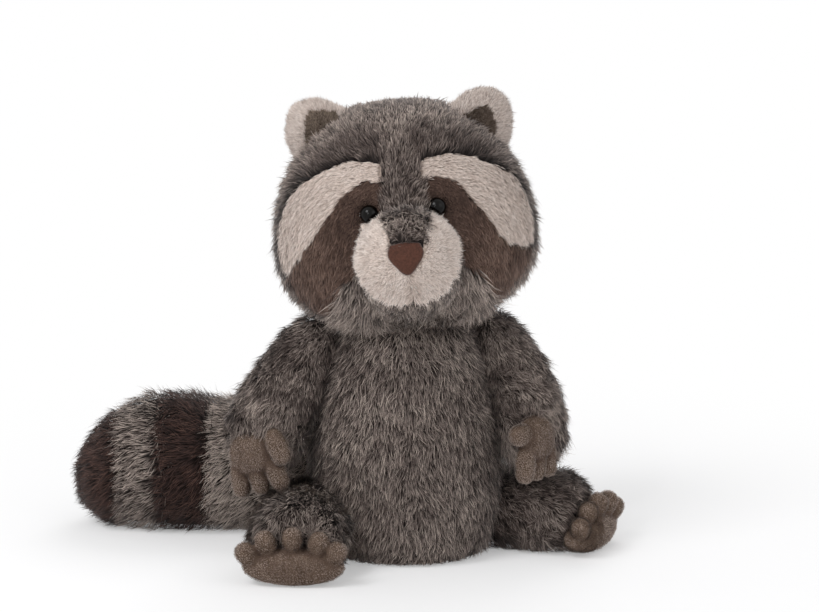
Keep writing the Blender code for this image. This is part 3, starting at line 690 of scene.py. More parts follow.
class Surfaces:
    """Smooth skins made from copies of the CAD solids."""

    def __init__(self, nodes: dict[str, bpy.types.Object]) -> None:
        """Keep the CAD nodes."""
        self.nodes = nodes

    def merged(self, names: Iterable[str]) -> bmesh.types.BMesh:
        """One merged copy of some CAD meshes."""
        shape = bmesh.new()
        for name in names:
            shape.from_mesh(self.nodes[name].data)
        bmesh.ops.remove_doubles(shape, verts=shape.verts, dist=WELD_GAP)
        return shape

    def neighbours(self, own: Sequence[str]) -> BVHTree:
        """A search tree over all the solids that could touch a piece, but not its own."""
        shape = self.merged(name for name in self.nodes if name not in own and "washer" not in name)
        found = BVHTree.FromBMesh(shape)
        shape.free()
        return found

    def skin(self, name: str, nodes: Sequence[str], voxel: float, smooth: int,
             swell: float = 0.0) -> bpy.types.Object:
        """A smooth closed skin over some CAD solids.

        Args:
            name: the skin's name.
            nodes: the CAD nodes that it follows.
            voxel: the size of its faces.
            smooth: how many smoothing steps it gets.
            swell: how far it is moved outwards.

        Returns:
            The skin, as a plain mesh object.
        """
        raw = solid(name + "_raw", self.merged(nodes))
        for label, kind, settings in (("remesh", "REMESH", {"mode": "VOXEL", "voxel_size": voxel}),
                                      ("soften", "SMOOTH", {"factor": 0.5, "iterations": smooth}),
                                      ("push", "DISPLACE", {"strength": swell, "mid_level": 0.0})):
            modifier = raw.modifiers.new(label, kind)
            for key, value in settings.items():
                setattr(modifier, key, value)
        mesh = evaluated(raw, name)
        mesh.materials.clear()
        mesh.shade_smooth()
        return linked(name, mesh)

    @staticmethod
    def part_of(whole: bpy.types.Object, name: str, chosen: Array) -> bpy.types.Object:
        """A new object with some faces of another.

        Args:
            whole: the object that is parted.
            name: the new object's name.
            chosen: True for each face that the new object keeps.

        Returns:
            The new object.
        """
        shape = bmesh.new()
        shape.from_mesh(whole.data)
        unwanted = [face for face, keep in zip(shape.faces, chosen) if not keep]
        bmesh.ops.delete(shape, geom=unwanted, context="FACES")
        return solid(name, shape)


@dataclass(frozen=True)
class FaceFrame:
    """Where the face is and which way it looks, taken from the eyes.

    Attributes:
        right: towards the toy's own left, which is the viewer's right.
        up: up the face.
        forward: out of the face.
        eyes: the middle of the pair of eyes.
        head: the middle of the head.
        nose: the middle of the nose.
        eye_rise: how far the eyes lie above the middle of the face.
        tilt: how far the face looks up.
    """

    right: Array
    up: Array
    forward: Array
    eyes: Array
    head: Array
    nose: Array
    eye_rise: float = -0.0035
    tilt: float = math.radians(10)

    @classmethod
    def read(cls) -> FaceFrame:
        """Work the frame out from the CAD nodes."""
        left, right_eye, nose, head = (
            np.array(sum(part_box(node), Vector()) / 2) for node in ("eye_left", "eye_right", "nose",
                                                                   "head_stuffing"))
        right = unit(left - right_eye)
        forward = np.array((0.0, -math.cos(cls.tilt), math.sin(cls.tilt)))
        forward = unit(forward - right * forward.dot(right))
        return cls(right, np.cross(forward, right), forward, (left + right_eye) / 2, head, nose)

    def local(self, points: Array) -> Array:
        """Points as right and up of the middle of the face, and forward of the middle of the head."""
        away = points - self.eyes
        return np.stack([away @ self.right, away @ self.up + self.eye_rise,
                         (points - self.head) @ self.forward], axis=-1)


@dataclass(frozen=True)
class Site:
    """The places on a skin that a pile grows from.

    Attributes:
        points: the places.
        normals: the way out of the skin at each.
        across: how far each lies to the left of the middle of the face.
        rise: how far it lies above that.
        ahead: how far it lies in front of the middle of the head.
    """

    points: Array
    normals: Array
    across: Array
    rise: Array
    ahead: Array

    def gap(self, place: Array) -> Array:
        """How far each point is from a place."""
        return np.linalg.norm(self.points - place, axis=1)


@dataclass
class Workshop:
    """What every piece needs to be made.

    Attributes:
        surfaces: makes skins from CAD solids.
        finishes: the materials.
        group: grows piles.
        face: where the face is.
    """

    surfaces: Surfaces
    finishes: Finishes
    group: PileGroup
    face: FaceFrame


@dataclass
class Pelt:
    """One furred piece: a skin, its pile, and how the pile lies.

    Attributes:
        node: the CAD node that the skin stands for.
        shop: what the piece is made with.
        finish: the colours of the pile and the cloth.
        cut: how the fibres stand.
        voxel: the size of the skin's faces.
        smooth: how many smoothing steps the skin gets.
        fill: how tightly the piece is stuffed; not used.
        relief: how much painted shade darkens the pile in hollows, and how much painted highlight pales it on
            ridges.
        way: the way that the pile lies.
        flare: how much of the skin's normal is added to that, along each axis.
        shade: a shift of shade, paler above nought.
        back: the share of the full density at the back.
    """

    node: str
    shop: Workshop
    finish: PileFinish = GREY
    cut: PileCut = PileCut(0.0092, 0.00050, 10000)
    voxel: float = 0.0025
    smooth: int = 4
    fill: float = 0.85
    relief: float = 0.0
    way: Way = (0.0, 0.0, -1.0)
    flare: Way = (0.0, 0.0, 0.0)
    shade: float = 0.0
    back: float = 0.72

    def comb(self, at: Site) -> Array:
        """The way that the pile lies at each point."""
        return np.array(self.way) + at.normals * np.array(self.flare)

    def length(self, at: Site) -> Array:
        """A factor on the fibre length at each point."""
        return np.ones(len(at.points))

    def tone(self, at: Site) -> Array:
        """A shift of shade at each point."""
        return np.full(len(at.points), self.shade)

    def shaped(self, points: Array) -> Array:
        """The skin's points, moved to where the photograph shows them."""
        return points

    def covered(self, at: Site) -> Array:
        """Where another solid lies against the skin, or the skin lies on the floor."""
        own = next((family for family in FAMILIES if self.node in family), (self.node,))
        others = self.shop.surfaces.neighbours(own)
        hits = [others.ray_cast(Vector(point + normal * CONTACT_START), Vector(normal), CONTACT_REACH)[0]
                for point, normal in zip(at.points, at.normals)]
        sole = (at.points[:, 2] < SOLE_HEIGHT) & (at.normals[:, 2] < SOLE_NORMAL)
        return np.array([hit is not None for hit in hits]) | sole

    def grow(self, skin: bpy.types.Object) -> bpy.types.Object:
        """Comb the skin and grow its pile.

        Args:
            skin: the skin that the pile grows on.

        Returns:
            The pile.
        """
        points, normals = read_vertices(skin), unit(read_vertices(skin, "normal"))
        at = Site(points, normals, *self.shop.face.local(points).T)
        way = self.comb(at)
        way = way - normals * np.sum(way * normals, axis=1, keepdims=True)
        tone = self.tone(at)
        # Painted shade in the skin's hollows and painted highlight on its ridges.
        if self.relief:
            tone = tone - self.relief * np.clip(hollows(skin, points, normals) / HOLLOW_DEPTH, -1.0, 1.0)
        grow = self.back + (1 - self.back) * rises(-normals[:, 1], -0.5, 0.3)
        grow[self.covered(at)] = 0.0
        fields = {"comb": way / np.maximum(np.linalg.norm(way, axis=1, keepdims=True), 1.0),
                  "upright": normals, "pile": self.length(at) * self.cut.length, "tone": tone, "grow": grow}
        for name, values in fields.items():
            kind, key = (VECTOR, "vector") if values.ndim == 2 else ("FLOAT", "value")
            layer = skin.data.attributes.new(name, kind, "POINT")
            layer.data.foreach_set(key, np.ascontiguousarray(values, dtype=np.float32).ravel())
        area = sum(face.area * float(np.mean(grow[list(face.vertices)])) for face in skin.data.polygons)
        pile = self.shop.group.grow(skin, self.node + "_pile", self.cut,
                                    self.shop.finishes.pile(self.finish), area)
        for name in fields:
            skin.data.attributes.remove(skin.data.attributes[name])
        return pile

    def build(self, skin: bpy.types.Object | None = None) -> int:
        """Make the skin and its pile.

        Args:
            skin: a skin that is already made, or None.

        Returns:
            How many triangles the piece has.
        """
        skin = skin or self.shop.surfaces.skin(self.node + "_skin", [self.node], self.voxel, self.smooth)
        place_points(skin, self.shaped(read_vertices(skin)))
        skin.data.materials.append(self.shop.finishes.mottled(*self.finish.cloth, 0.004))
        count = enter(skin, self.node)
        return count + enter(self.grow(skin))


@dataclass
class HeadPelt(Pelt):
    """A panel of the head, on a part of the head's one skin."""

    fill: float = 0.9


@dataclass
class Crown(HeadPelt):
    """The grey crown, bridge, sides and back of the head."""

    cut: PileCut = PileCut(0.0094, 0.00053, 64000, lean=0.52, tousle=0.55, swell=0.32, region=0.95, seed=3)

    def comb(self, at: Site) -> Array:
        """Up from the nose, outwards over the crown, and down the back and sides."""
        face = self.shop.face
        way = unit(at.points - face.nose + face.forward * 0.020)
        back = rises(at.points[:, 1], -0.030, 0.020)[:, None]
        side = rises(np.abs(at.across), 0.045, 0.070)[:, None]
        down = np.array((0.0, 0.35, -0.9))
        return way * (1 - 0.75 * back) * (1 - 0.6 * side) + down * np.maximum(back, side)

    def length(self, at: Site) -> Array:
        """Short by the eyes, long in a ball on the snout, on the crown and at the back."""
        low = falls(at.rise, -0.016, 0.040) * falls(np.abs(at.across), 0.012, 0.030)
        front = rises(at.ahead, 0.010, 0.035)
        snout = np.exp(-((at.across - 0.0005) ** 2 + (at.rise + 0.0115) ** 2) / 0.0115 ** 2)
        top = rises(at.normals[:, 2], 0.45, 0.90) * rises(at.rise, 0.010, 0.030)
        crest = 0.24 + 0.24 * falls(np.abs(at.across - 0.002), 0.006, 0.028)
        return 1.0 - 0.52 * low * front + 0.30 * snout * front - crest * top

    def tone(self, at: Site) -> Array:
        """Near black above the brows, where dark fur carries painted shadow of its roots; dark on the bridge
        and by the nose; paler on the snout's ball as painted light; and grey on the crown.
        """
        # Dark fur above the brows, with painted shadow of the fur's roots along the brows' edge.
        over = at.rise - 0.0265 + 6.0 * at.across ** 2
        above = rises(over, -0.010, -0.002) * falls(over, 0.006, 0.021)
        apart = rises(np.abs(at.across), 0.006, 0.012)
        level = rises(at.rise, -0.012, 0.002) * falls(at.rise, 0.028, 0.046)
        bridge = level * falls(np.abs(at.across - 0.001), 0.009, 0.016)
        tip = falls(at.gap(self.shop.face.nose), 0.010, 0.019)
        # Painted light: the top of the snout's ball is paler, as if lit from above.
        ball = peak(at.rise, -0.0095, 0.0065) * rises(at.ahead, 0.037, 0.042)
        return 0.05 - rises(at.ahead, -0.010, 0.020) * (
            0.50 * above * apart + 0.26 * bridge + 0.40 * tip - 0.20 * ball)


@dataclass
class Chin(HeadPelt):
    """The grey bib under the muzzle."""

    cut: PileCut = PileCut(0.0160, 0.00053, 16000, lean=0.60, tousle=0.60, swell=0.35, seed=5)
    shade: float = 0.22

    def comb(self, at: Site) -> Array:
        """Down, and a little away from the middle."""
        return np.outer(at.across * 12.0, (1.0, 0.0, 0.0)) + (0.0, -0.15, -1.0)

    def length(self, at: Site) -> Array:
        """Short against the muzzle and long at the bottom."""
        return 0.32 + 0.68 * rises(np.hypot(at.across, at.rise + 0.0300) - 0.025, 0.0, 0.016)


@dataclass
class Muzzle(HeadPelt):
    """The pale round muzzle."""

    finish: PileFinish = CREAM
    cut: PileCut = PileCut(0.0060, 0.00038, 19000, lean=0.62, tousle=0.34, scatter=0.28, tuft=0.0042,
                           swell=0.30, region=0.7, spread=0.9, sag=0.0, seed=7)

    def comb(self, at: Site) -> Array:
        """Away from the nose, and parted below it."""
        face = self.shop.face
        part = np.sign(at.across + 0.0006) * np.exp(-np.abs(at.across) / 0.005) * falls(at.rise, -0.046, -0.036)
        return unit(at.points - face.nose + face.forward * 0.006) + part[:, None] * face.right * 1.2

    def length(self, at: Site) -> Array:
        """Short by the nose."""
        return 0.42 + 0.58 * rises(at.gap(self.shop.face.nose), 0.009, 0.028)

    def tone(self, at: Site) -> Array:
        """Darker in the parting under the nose, as painted shade."""
        return 0.05 - 0.55 * falls(at.rise, -0.042, -0.036) * peak(at.across, 0.0, 0.0018)


@dataclass
class Brow(HeadPelt):
    """A pale brow band, a little greyer than the muzzle."""

    finish: PileFinish = CREAM
    cut: PileCut = PileCut(0.0056, 0.00038, 9500, lean=0.64, tousle=0.18, scatter=0.28, tuft=0.005,
                           swell=0.15, region=0.5, spread=0.8, sag=0.0, seed=9)
    shade: float = -0.10

    def comb(self, at: Site) -> Array:
        """Along the band, from the bridge out and down."""
        face, across = self.shop.face, at.across[:, None]
        turn = rises(np.abs(across), 0.015, 0.072) * 1.25
        return face.right * np.sign(across) * np.cos(turn) - face.up * np.sin(turn)

    def length(self, at: Site) -> Array:
        """Short by the bridge."""
        return 0.65 + 0.35 * rises(np.abs(at.across), 0.015, 0.050)


@dataclass
class Mask(HeadPelt):
    """The brown mask round an eye and down a cheek.

    Attributes:
        eye_spread: how far each eye lies from the middle of the pair.
    """

    finish: PileFinish = MASK
    cut: PileCut = PileCut(0.0088, 0.00046, 16000, lean=0.66, tousle=0.32, scatter=0.26, swell=0.25,
                           region=0.8, spread=0.9, seed=11)
    eye_spread: float = 0.019

    def comb(self, at: Site) -> Array:
        """Along the brow band, outwards and down."""
        face, across = self.shop.face, at.across[:, None]
        turn = 0.55 + 0.85 * rises(np.abs(across), 0.012, 0.062)
        return face.right * np.sign(across) * np.cos(turn) - face.up * np.sin(turn)

    def length(self, at: Site) -> Array:
        """Very short round the eye, and longer towards the cheek."""
        face = self.shop.face
        gaps = []
        for spread in (-self.eye_spread, self.eye_spread):
            away = at.points - face.eyes - face.right * spread
            gaps.append(np.linalg.norm(away - np.outer(away @ face.forward, face.forward), axis=1))
        near = 0.28 + 0.72 * rises(np.minimum(*gaps), 0.004, 0.017)
        return near * (0.55 + 0.45 * rises(at.gap(face.eyes), 0.030, 0.065))

    def tone(self, at: Site) -> Array:
        """Darker near the eyes and under the brow."""
        return 0.02 - 0.34 * falls(at.gap(self.shop.face.eyes), 0.026, 0.055)


@dataclass
class Head:
    """The head: one smooth skin over the filling, parted into its cloth panels.

    Attributes:
        shop: what the pieces are made with.
        voxel: the size of the skin's faces.
        brow: each brow band's outline on the face.
        mask: the mask's outline on the left of the face.
        chin: half the bib's outline on the face, the left one.
        bridge: the outline of the bridge, from the brow down to the nose.
        muzzle_radii: half the width and half the height of the muzzle.
        muzzle_drop: how far the muzzle lies below the middle of the face.
        snout_rise: how far the snout's top stands out.
        snout_radius: the size of the snout's top.
        depths: how far forward the mask, the brow bands, the bib and the muzzle start.
    """

    shop: Workshop
    voxel: float = 0.0023
    brow: dict[str, Outline] = field(default_factory=lambda: {
        "left": [(0.0108, 0.0205), (0.0150, 0.0225), (0.0264, 0.0240), (0.0382, 0.0222), (0.0507, 0.0165),
                 (0.0618, 0.0110), (0.0665, 0.0030), (0.0740, -0.0096), (0.0755, -0.0190), (0.0735, -0.0262),
                 (0.0650, -0.0292), (0.0540, -0.0262), (0.0488, -0.0190), (0.0445, -0.0115), (0.0355, 0.0000),
                 (0.0275, 0.0100), (0.0170, 0.0125), (0.0104, 0.0100)],
        "right": [(-0.0088, 0.0225), (-0.0254, 0.0255), (-0.0403, 0.0225), (-0.0600, 0.0140),
                  (-0.0700, 0.0030), (-0.0900, -0.0060), (-0.0900, -0.0400), (-0.0720, -0.0370),
                  (-0.0660, -0.0290), (-0.0570, -0.0200), (-0.0480, -0.0110), (-0.0400, -0.0012),
                  (-0.0305, 0.0078), (-0.0185, 0.0138), (-0.0092, 0.0112)]})
    mask: Outline = ((0.0085, 0.0220), (0.0085, -0.0200), (0.0240, -0.0340), (0.0345, -0.0385),
                     (0.0395, -0.0500), (0.0425, -0.0620), (0.0445, -0.0900), (0.0950, -0.0900),
                     (0.0950, -0.0265), (0.0650, -0.0250), (0.0560, -0.0050), (0.0420, 0.0100),
                     (0.0280, 0.0180), (0.0150, 0.0180))
    chin: Outline = ((0.0200, -0.0300), (0.0345, -0.0385), (0.0395, -0.0500), (0.0425, -0.0620),
                     (0.0445, -0.0900))
    bridge: Outline = ((0.0112, 0.0230), (0.0125, 0.0080), (0.0132, -0.0006), (0.0138, -0.0111),
                       (0.0109, -0.0188), (0.0065, -0.0300), (-0.0085, -0.0300), (-0.0090, -0.0190),
                       (-0.0118, -0.0099), (-0.0105, 0.0021), (-0.0090, 0.0130), (-0.0088, 0.0230))
    muzzle_radii: tuple[float, float] = (0.0263, 0.0252)
    muzzle_drop: float = 0.0295
    snout_rise: float = 0.0024
    snout_radius: float = 0.0115
    depths: tuple[float, float, float, float] = (-0.003, -0.010, -0.016, 0.020)

    def _shaped(self) -> bpy.types.Object:
        """The head's skin, with the muzzle drawn in at its lower edge and the snout's top raised."""
        whole = self.shop.surfaces.skin("head_skin", ["head_stuffing"], self.voxel, 5, PANEL_RISE)
        face = self.shop.face
        points = read_vertices(whole)
        across, high, forward = face.local(points).T
        rise = high + self.muzzle_drop
        ahead = rises(forward, 0.046, 0.060) * falls(np.hypot(across, rise), 0.030, 0.038)
        lift = np.where(rise < 0, -rise * 0.20, 0.0) * ahead
        points = points + np.outer(lift, face.up) + np.outer(-across * 0.06 * ahead, face.right)
        snout = np.hypot(across - 0.0015, high + 0.0110) / self.snout_radius
        raised = self.snout_rise * np.exp(-snout ** 2) * rises(forward, 0.030, 0.045)
        place_points(whole, points + np.outer(raised, unit(face.forward + face.up * 0.3)))
        return whole

    def _panels(self, whole: bpy.types.Object) -> dict[str, Array]:
        """Which faces of the skin belong to each panel."""
        spot = self.shop.face.local(centres_of(whole))
        flat, ahead = spot[:, :2], spot[:, 2]
        wide, high = self.muzzle_radii
        mask, brow, chin, muzzle = self.depths
        round_edge = np.hypot((flat[:, 0] + 0.0006) / wide, (flat[:, 1] + self.muzzle_drop) / high) < 1
        beside_bridge = ~inside(flat, self.bridge)
        banded = ahead > brow + 14.0 * (flat[:, 1] + 0.018) ** 2
        bib = [*self.chin, *((-x, z) for x, z in reversed(self.chin))]
        rules = {"muzzle_panel": round_edge & beside_bridge & (ahead > muzzle),
                 "brow_band_left": inside(flat, self.brow["left"]) & banded,
                 "brow_band_right": inside(flat, self.brow["right"]) & banded,
                 "chin_panel": inside(flat, bib) & (ahead > chin)}
        for side, sign in (("left", 1), ("right", -1)):
            outline = [(sign * x, z) for x, z in self.mask]
            rules["mask_panel_" + side] = inside(flat, outline) & (ahead > mask) & beside_bridge
        free = np.ones(len(spot), bool)
        panels = {}
        for name, held in rules.items():
            panels[name] = held & free
            free &= ~held
        return panels | {"head_panel": free}

    def build(self) -> int:
        """Make the head's skins and piles.

        Returns:
            How many triangles the head has.
        """
        whole = self._shaped()
        kinds = {"head": Crown, "chin": Chin, "muzzle": Muzzle, "brow": Brow, "mask": Mask}
        count = 0
        for node, chosen in self._panels(whole).items():
            skin = self.shop.surfaces.part_of(whole, node + "_skin", chosen)
            count += kinds[node.split("_")[0]](node, self.shop).build(skin)
        bpy.data.objects.remove(whole, do_unlink=True)
        return count


@dataclass
class Torso(Pelt):
    """The pear-shaped body."""

    cut: PileCut = PileCut(0.0095, 0.00053, 62000, lean=0.60, tousle=0.62, swell=0.32, seed=21)
    voxel: float = 0.0032
    smooth: int = 3
    flare: Way = (0.35, 0.2, 0.0)

    def tone(self, at: Site) -> Array:
        """Darker at the sides, beside the arms, as painted shade."""
        return 0.04 - 0.10 * rises(np.abs(at.points[:, 0]), 0.034, 0.052)


@dataclass
class Arm(Pelt):
    """A sleeve that hangs from the shoulder."""

    cut: PileCut = PileCut(0.0092, 0.00053, 24000, lean=0.54, tousle=0.85, swell=0.38, region=1.5, seed=31)

    def _cuff(self, at: Site, reach: float) -> Array:
        """One at the cuff, and nought further up the sleeve than reach."""
        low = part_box(self.node)[0].z
        return falls(at.points[:, 2], low + reach * 0.3, low + reach)

    def length(self, at: Site) -> Array:
        """Longer at the cuff."""
        return 0.95 + 0.40 * self._cuff(at, 0.022)

    def tone(self, at: Site) -> Array:
        """Dark at the shoulder as painted shade under the head, and pale at the cuff."""
        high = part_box(self.node)[1].z
        return 0.05 + 0.12 * self._cuff(at, 0.030) - 0.16 * rises(at.points[:, 2], high - 0.045, high - 0.010)


@dataclass
class Leg(Pelt):
    """A leg that lies on the floor."""

    cut: PileCut = PileCut(0.0088, 0.00053, 18000, lean=0.50, tousle=1.0, swell=0.38, region=1.6, seed=41)


@dataclass
class Paw(Pelt):
    """A hand in short pile that lies along its fingers."""

    finish: PileFinish = PAW
    cut: PileCut = PileCut(0.0014, 0.00036, 9500, lean=0.42, tousle=0.35, scatter=0.35, tuft=0.003,
                           swell=0.2, region=0.6, spread=0.4, sag=0.0, seed=71)
    voxel: float = 0.0012
    smooth: int = 3
    fill: float = 0.8
    # Painted shade between the digits and painted highlight on their rims.
    relief: float = 0.80
    back: float = 1.0


@dataclass
class Foot(Paw):
    """A foot in short pile."""

    def comb(self, at: Site) -> Array:
        """Away from the middle of the foot."""
        low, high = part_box(self.node)
        return unit(at.points - np.array((low + high) / 2)) + np.array((0.0, 0.0, 0.3))


@dataclass
class EarPelt(Pelt):
    """The pale outside of an ear."""

    finish: PileFinish = EAR
    cut: PileCut = PileCut(0.0046, 0.00038, 8500, lean=0.48, tousle=0.28, scatter=0.4, tuft=0.004,
                           region=0.6, spread=0.8, sag=0.0, seed=51)

    def comb(self, at: Site) -> Array:
        """Away from the head and from the middle of the ear."""
        low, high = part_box(self.node)
        return unit(at.points - np.array((low + high) / 2)) * 0.7 + unit(at.points - self.shop.face.head)


@dataclass
class LiningPelt(EarPelt):
    """The dark lining of an ear."""

    finish: PileFinish = LINING
    cut: PileCut = PileCut(0.0036, 0.00036, 2600, lean=0.5, tousle=0.4, scatter=0.3, tuft=0.004,
                           region=0.6, spread=0.8, sag=0.0, seed=53)


@dataclass
class Ear:
    """A padded ear, drawn from a disc into a rounded triangle, with its lining.

    Attributes:
        shop: what the pieces are made with.
        side: left or right.
        rim: the angle round the ear from straight outwards, to its reach there, in degrees and metres.
        lining: the outline of the lining on the face.
        lining_shade: a shift of shade for the lining, paler where the ear is more open to the light.
        place: how far the ear's middle lies beside and above the middle of the head.
        radius: the radius of the CAD ear.
        pile_rise: how far the pile stands off the rim.
        voxel: the size of the skin's faces.
    """

    shop: Workshop
    side: str
    rim: dict[str, Sequence[tuple[float, float]]] = field(default_factory=lambda: {
        "left": [(-90, 0.0245), (-32, 0.0254), (-1, 0.0247), (31, 0.0260), (46, 0.0264), (62, 0.0244),
                 (82, 0.0208), (110, 0.0165), (138, 0.0180), (180, 0.0212), (270, 0.0245)],
        "right": [(-90, 0.0230), (-28, 0.0183), (0, 0.0168), (40, 0.0215), (57, 0.0253), (81, 0.0251),
                  (109, 0.0230), (133, 0.0240), (180, 0.0240), (270, 0.0230)]})
    lining: dict[str, Outline] = field(default_factory=lambda: {
        "left": [(0.0395, 0.0465), (0.0520, 0.0502), (0.0552, 0.0460), (0.0560, 0.0370), (0.0500, 0.0250),
                 (0.0340, 0.0330)],
        "right": [(-0.0505, 0.0430), (-0.0480, 0.0540), (-0.0445, 0.0578), (-0.0320, 0.0545),
                  (-0.0240, 0.0380), (-0.0450, 0.0280)]})
    lining_shade: float = -0.10
    place: tuple[float, float] = (0.0420, 0.0425)
    radius: float = 0.0240
    pile_rise: float = 0.0015
    voxel: float = 0.0015

    def _drawn(self, nodes: Sequence[str]) -> bpy.types.Object:
        """The ear's skin, drawn out to its rim."""
        whole = self.shop.surfaces.skin(f"ear_{self.side}_whole", nodes, self.voxel, 3)
        face = self.shop.face
        outwards = face.right * (1.0 if self.side == "left" else -1.0)
        upright = face.up * math.cos(face.tilt) + face.forward * math.sin(face.tilt)
        points = read_vertices(whole)
        away = points - (face.head + outwards * self.place[0] + upright * self.place[1])
        out, up = away @ outwards, away @ face.up
        turn = np.degrees(np.arctan2(up, out))
        turn = np.where(turn < -90, turn + 360, turn)
        fine = np.arange(-90, 271, 3.0)
        table = np.interp(fine, *zip(*self.rim[self.side]))
        for _ in range(4):
            table[1:-1] = (table[:-2] + 2 * table[1:-1] + table[2:]) / 4
        factor = (np.interp(turn, fine, table) - self.pile_rise) / self.radius - 1
        share = rises(np.hypot(out, up), 0.002, 0.016) * factor
        place_points(whole, points + np.outer(out * share, outwards) + np.outer(up * share, face.up))
        return whole

    def build(self) -> int:
        """Make the ear and its lining.

        Returns:
            How many triangles they have.
        """
        nodes = ["ear_" + self.side, "ear_lining_" + self.side]
        whole = self._drawn(nodes)
        face = self.shop.face
        facing = np.array([polygon.normal for polygon in whole.data.polygons]) @ face.forward
        lined = inside(face.local(centres_of(whole))[:, :2], self.lining[self.side]) & (facing > 0.2)
        skins = [self.shop.surfaces.part_of(whole, node + "_skin", chosen)
                 for node, chosen in zip(nodes, (~lined, lined))]
        bpy.data.objects.remove(whole, do_unlink=True)
        return (EarPelt(nodes[0], self.shop).build(skins[0])
                + LiningPelt(nodes[1], self.shop, shade=self.lining_shade).build(skins[1]))


@dataclass
class TailSleeve(Pelt):
    """One band of the tail.

    Attributes:
        lift: how far the upper side is raised at the tip.
    """

    cut: PileCut = PileCut(0.0104, 0.00055, 24500, lean=0.52, tousle=0.65, swell=0.42, seed=61)
    voxel: float = 0.0028
    smooth: int = 2
    way: Way = (-1.0, 0.0, -0.30)
    lift: float = 0.0065

    def shaped(self, points: Array) -> Array:
        """Fuller towards the tip, on its upper side."""
        rise = rises(-points[:, 0], 0.105, 0.155) * rises(points[:, 2], 0.015, 0.060)
        return points + np.outer(rise * self.lift, (0.0, 0.0, 1.0))


@dataclass
class Eyes:
    """The two glossy safety eyes.

    Attributes:
        shop: what the pieces are made with.
        radius: the radius of the dome.
        depth: how far the dome's middle lies behind the front of the CAD eye.
        shift: how far each eye sits to the left of the CAD eye and above it.
    """

    shop: Workshop
    radius: float = 0.0053
    depth: float = 0.0043
    shift: Sequence[tuple[str, float, float]] = (("left", -0.0005, -0.0004), ("right", 0.0002, -0.0004))

    def build(self) -> int:
        """Put a smooth dome in each eye's place.

        Returns:
            How many triangles the eyes have.
        """
        face = self.shop.face
        gloss = self.shop.finishes.mottled("eye_gloss", "#030202", "#070503", 1 / 300, 0.03, 0.16,
                                           grain=SMOOTH_GRAIN)
        count = 0
        for side, across, rise in self.shift:
            spots = read_vertices(self.shop.surfaces.nodes["eye_" + side])
            front = spots[np.argmax(spots @ face.forward)]
            middle = front - face.forward * self.depth + face.right * across + face.up * rise
            shape = bmesh.new()
            bmesh.ops.create_uvsphere(shape, u_segments=40, v_segments=20, radius=self.radius,
                                      matrix=Matrix.Translation(Vector(middle)))
            dome = solid("eye_dome_" + side, shape)
            dome.data.shade_smooth()
            dome.data.materials.append(gloss)
            count += enter(dome, "eye_" + side)
        return count


@dataclass
class Nose:
    """The padded suede nose.

    Attributes:
        shop: what the piece is made with.
        voxel: the size of the skin's faces.
        smooth: how many smoothing steps the skin gets.
        swell: how far the suede stands off the CAD nose.
        shift: how far the nose sits to the left of the CAD nose.
        crest: how far the middle of its upper edge is raised, so that no notch is left there.
        taper: how much of their distance from the middle the upper corners are drawn in.
        level: how far above the nose's middle its upper edge is pressed flat.
        press: how much of what stands above that is taken off.
    """

    shop: Workshop
    voxel: float = 0.0006
    smooth: int = 16
    swell: float = 0.0007
    shift: float = -0.0014
    crest: float = 0.0006
    taper: float = 0.12
    level: float = 0.0068
    press: float = 0.75

    def _rounded(self, points: Array) -> Array:
        """The nose's points, with the upper edge made full and the upper corners drawn in."""
        face = self.shop.face
        spot = face.local(points)
        across, rise, _ = (spot - (spot.min(axis=0) + spot.max(axis=0)) / 2).T
        upper = rises(rise, 0.0, 0.0065)
        lift = self.crest * upper * peak(across, 0.0, 0.0044) - self.press * np.maximum(rise - self.level, 0.0)
        return (points + np.outer(lift, face.up) - np.outer(self.taper * upper * across, face.right)
                + face.right * self.shift)

    def build(self) -> int:
        """Make the nose's skin and return how many triangles it has."""
        skin = self.shop.surfaces.skin("nose_skin", ["nose"], self.voxel, self.smooth, self.swell)
        place_points(skin, self._rounded(read_vertices(skin)))
        skin.data.materials.append(self.shop.finishes.mottled("nose_suede", "#3a2117", "#553225", 0.0012, 0.8,
                                                              bump=0.0003))
        return enter(skin, "nose")


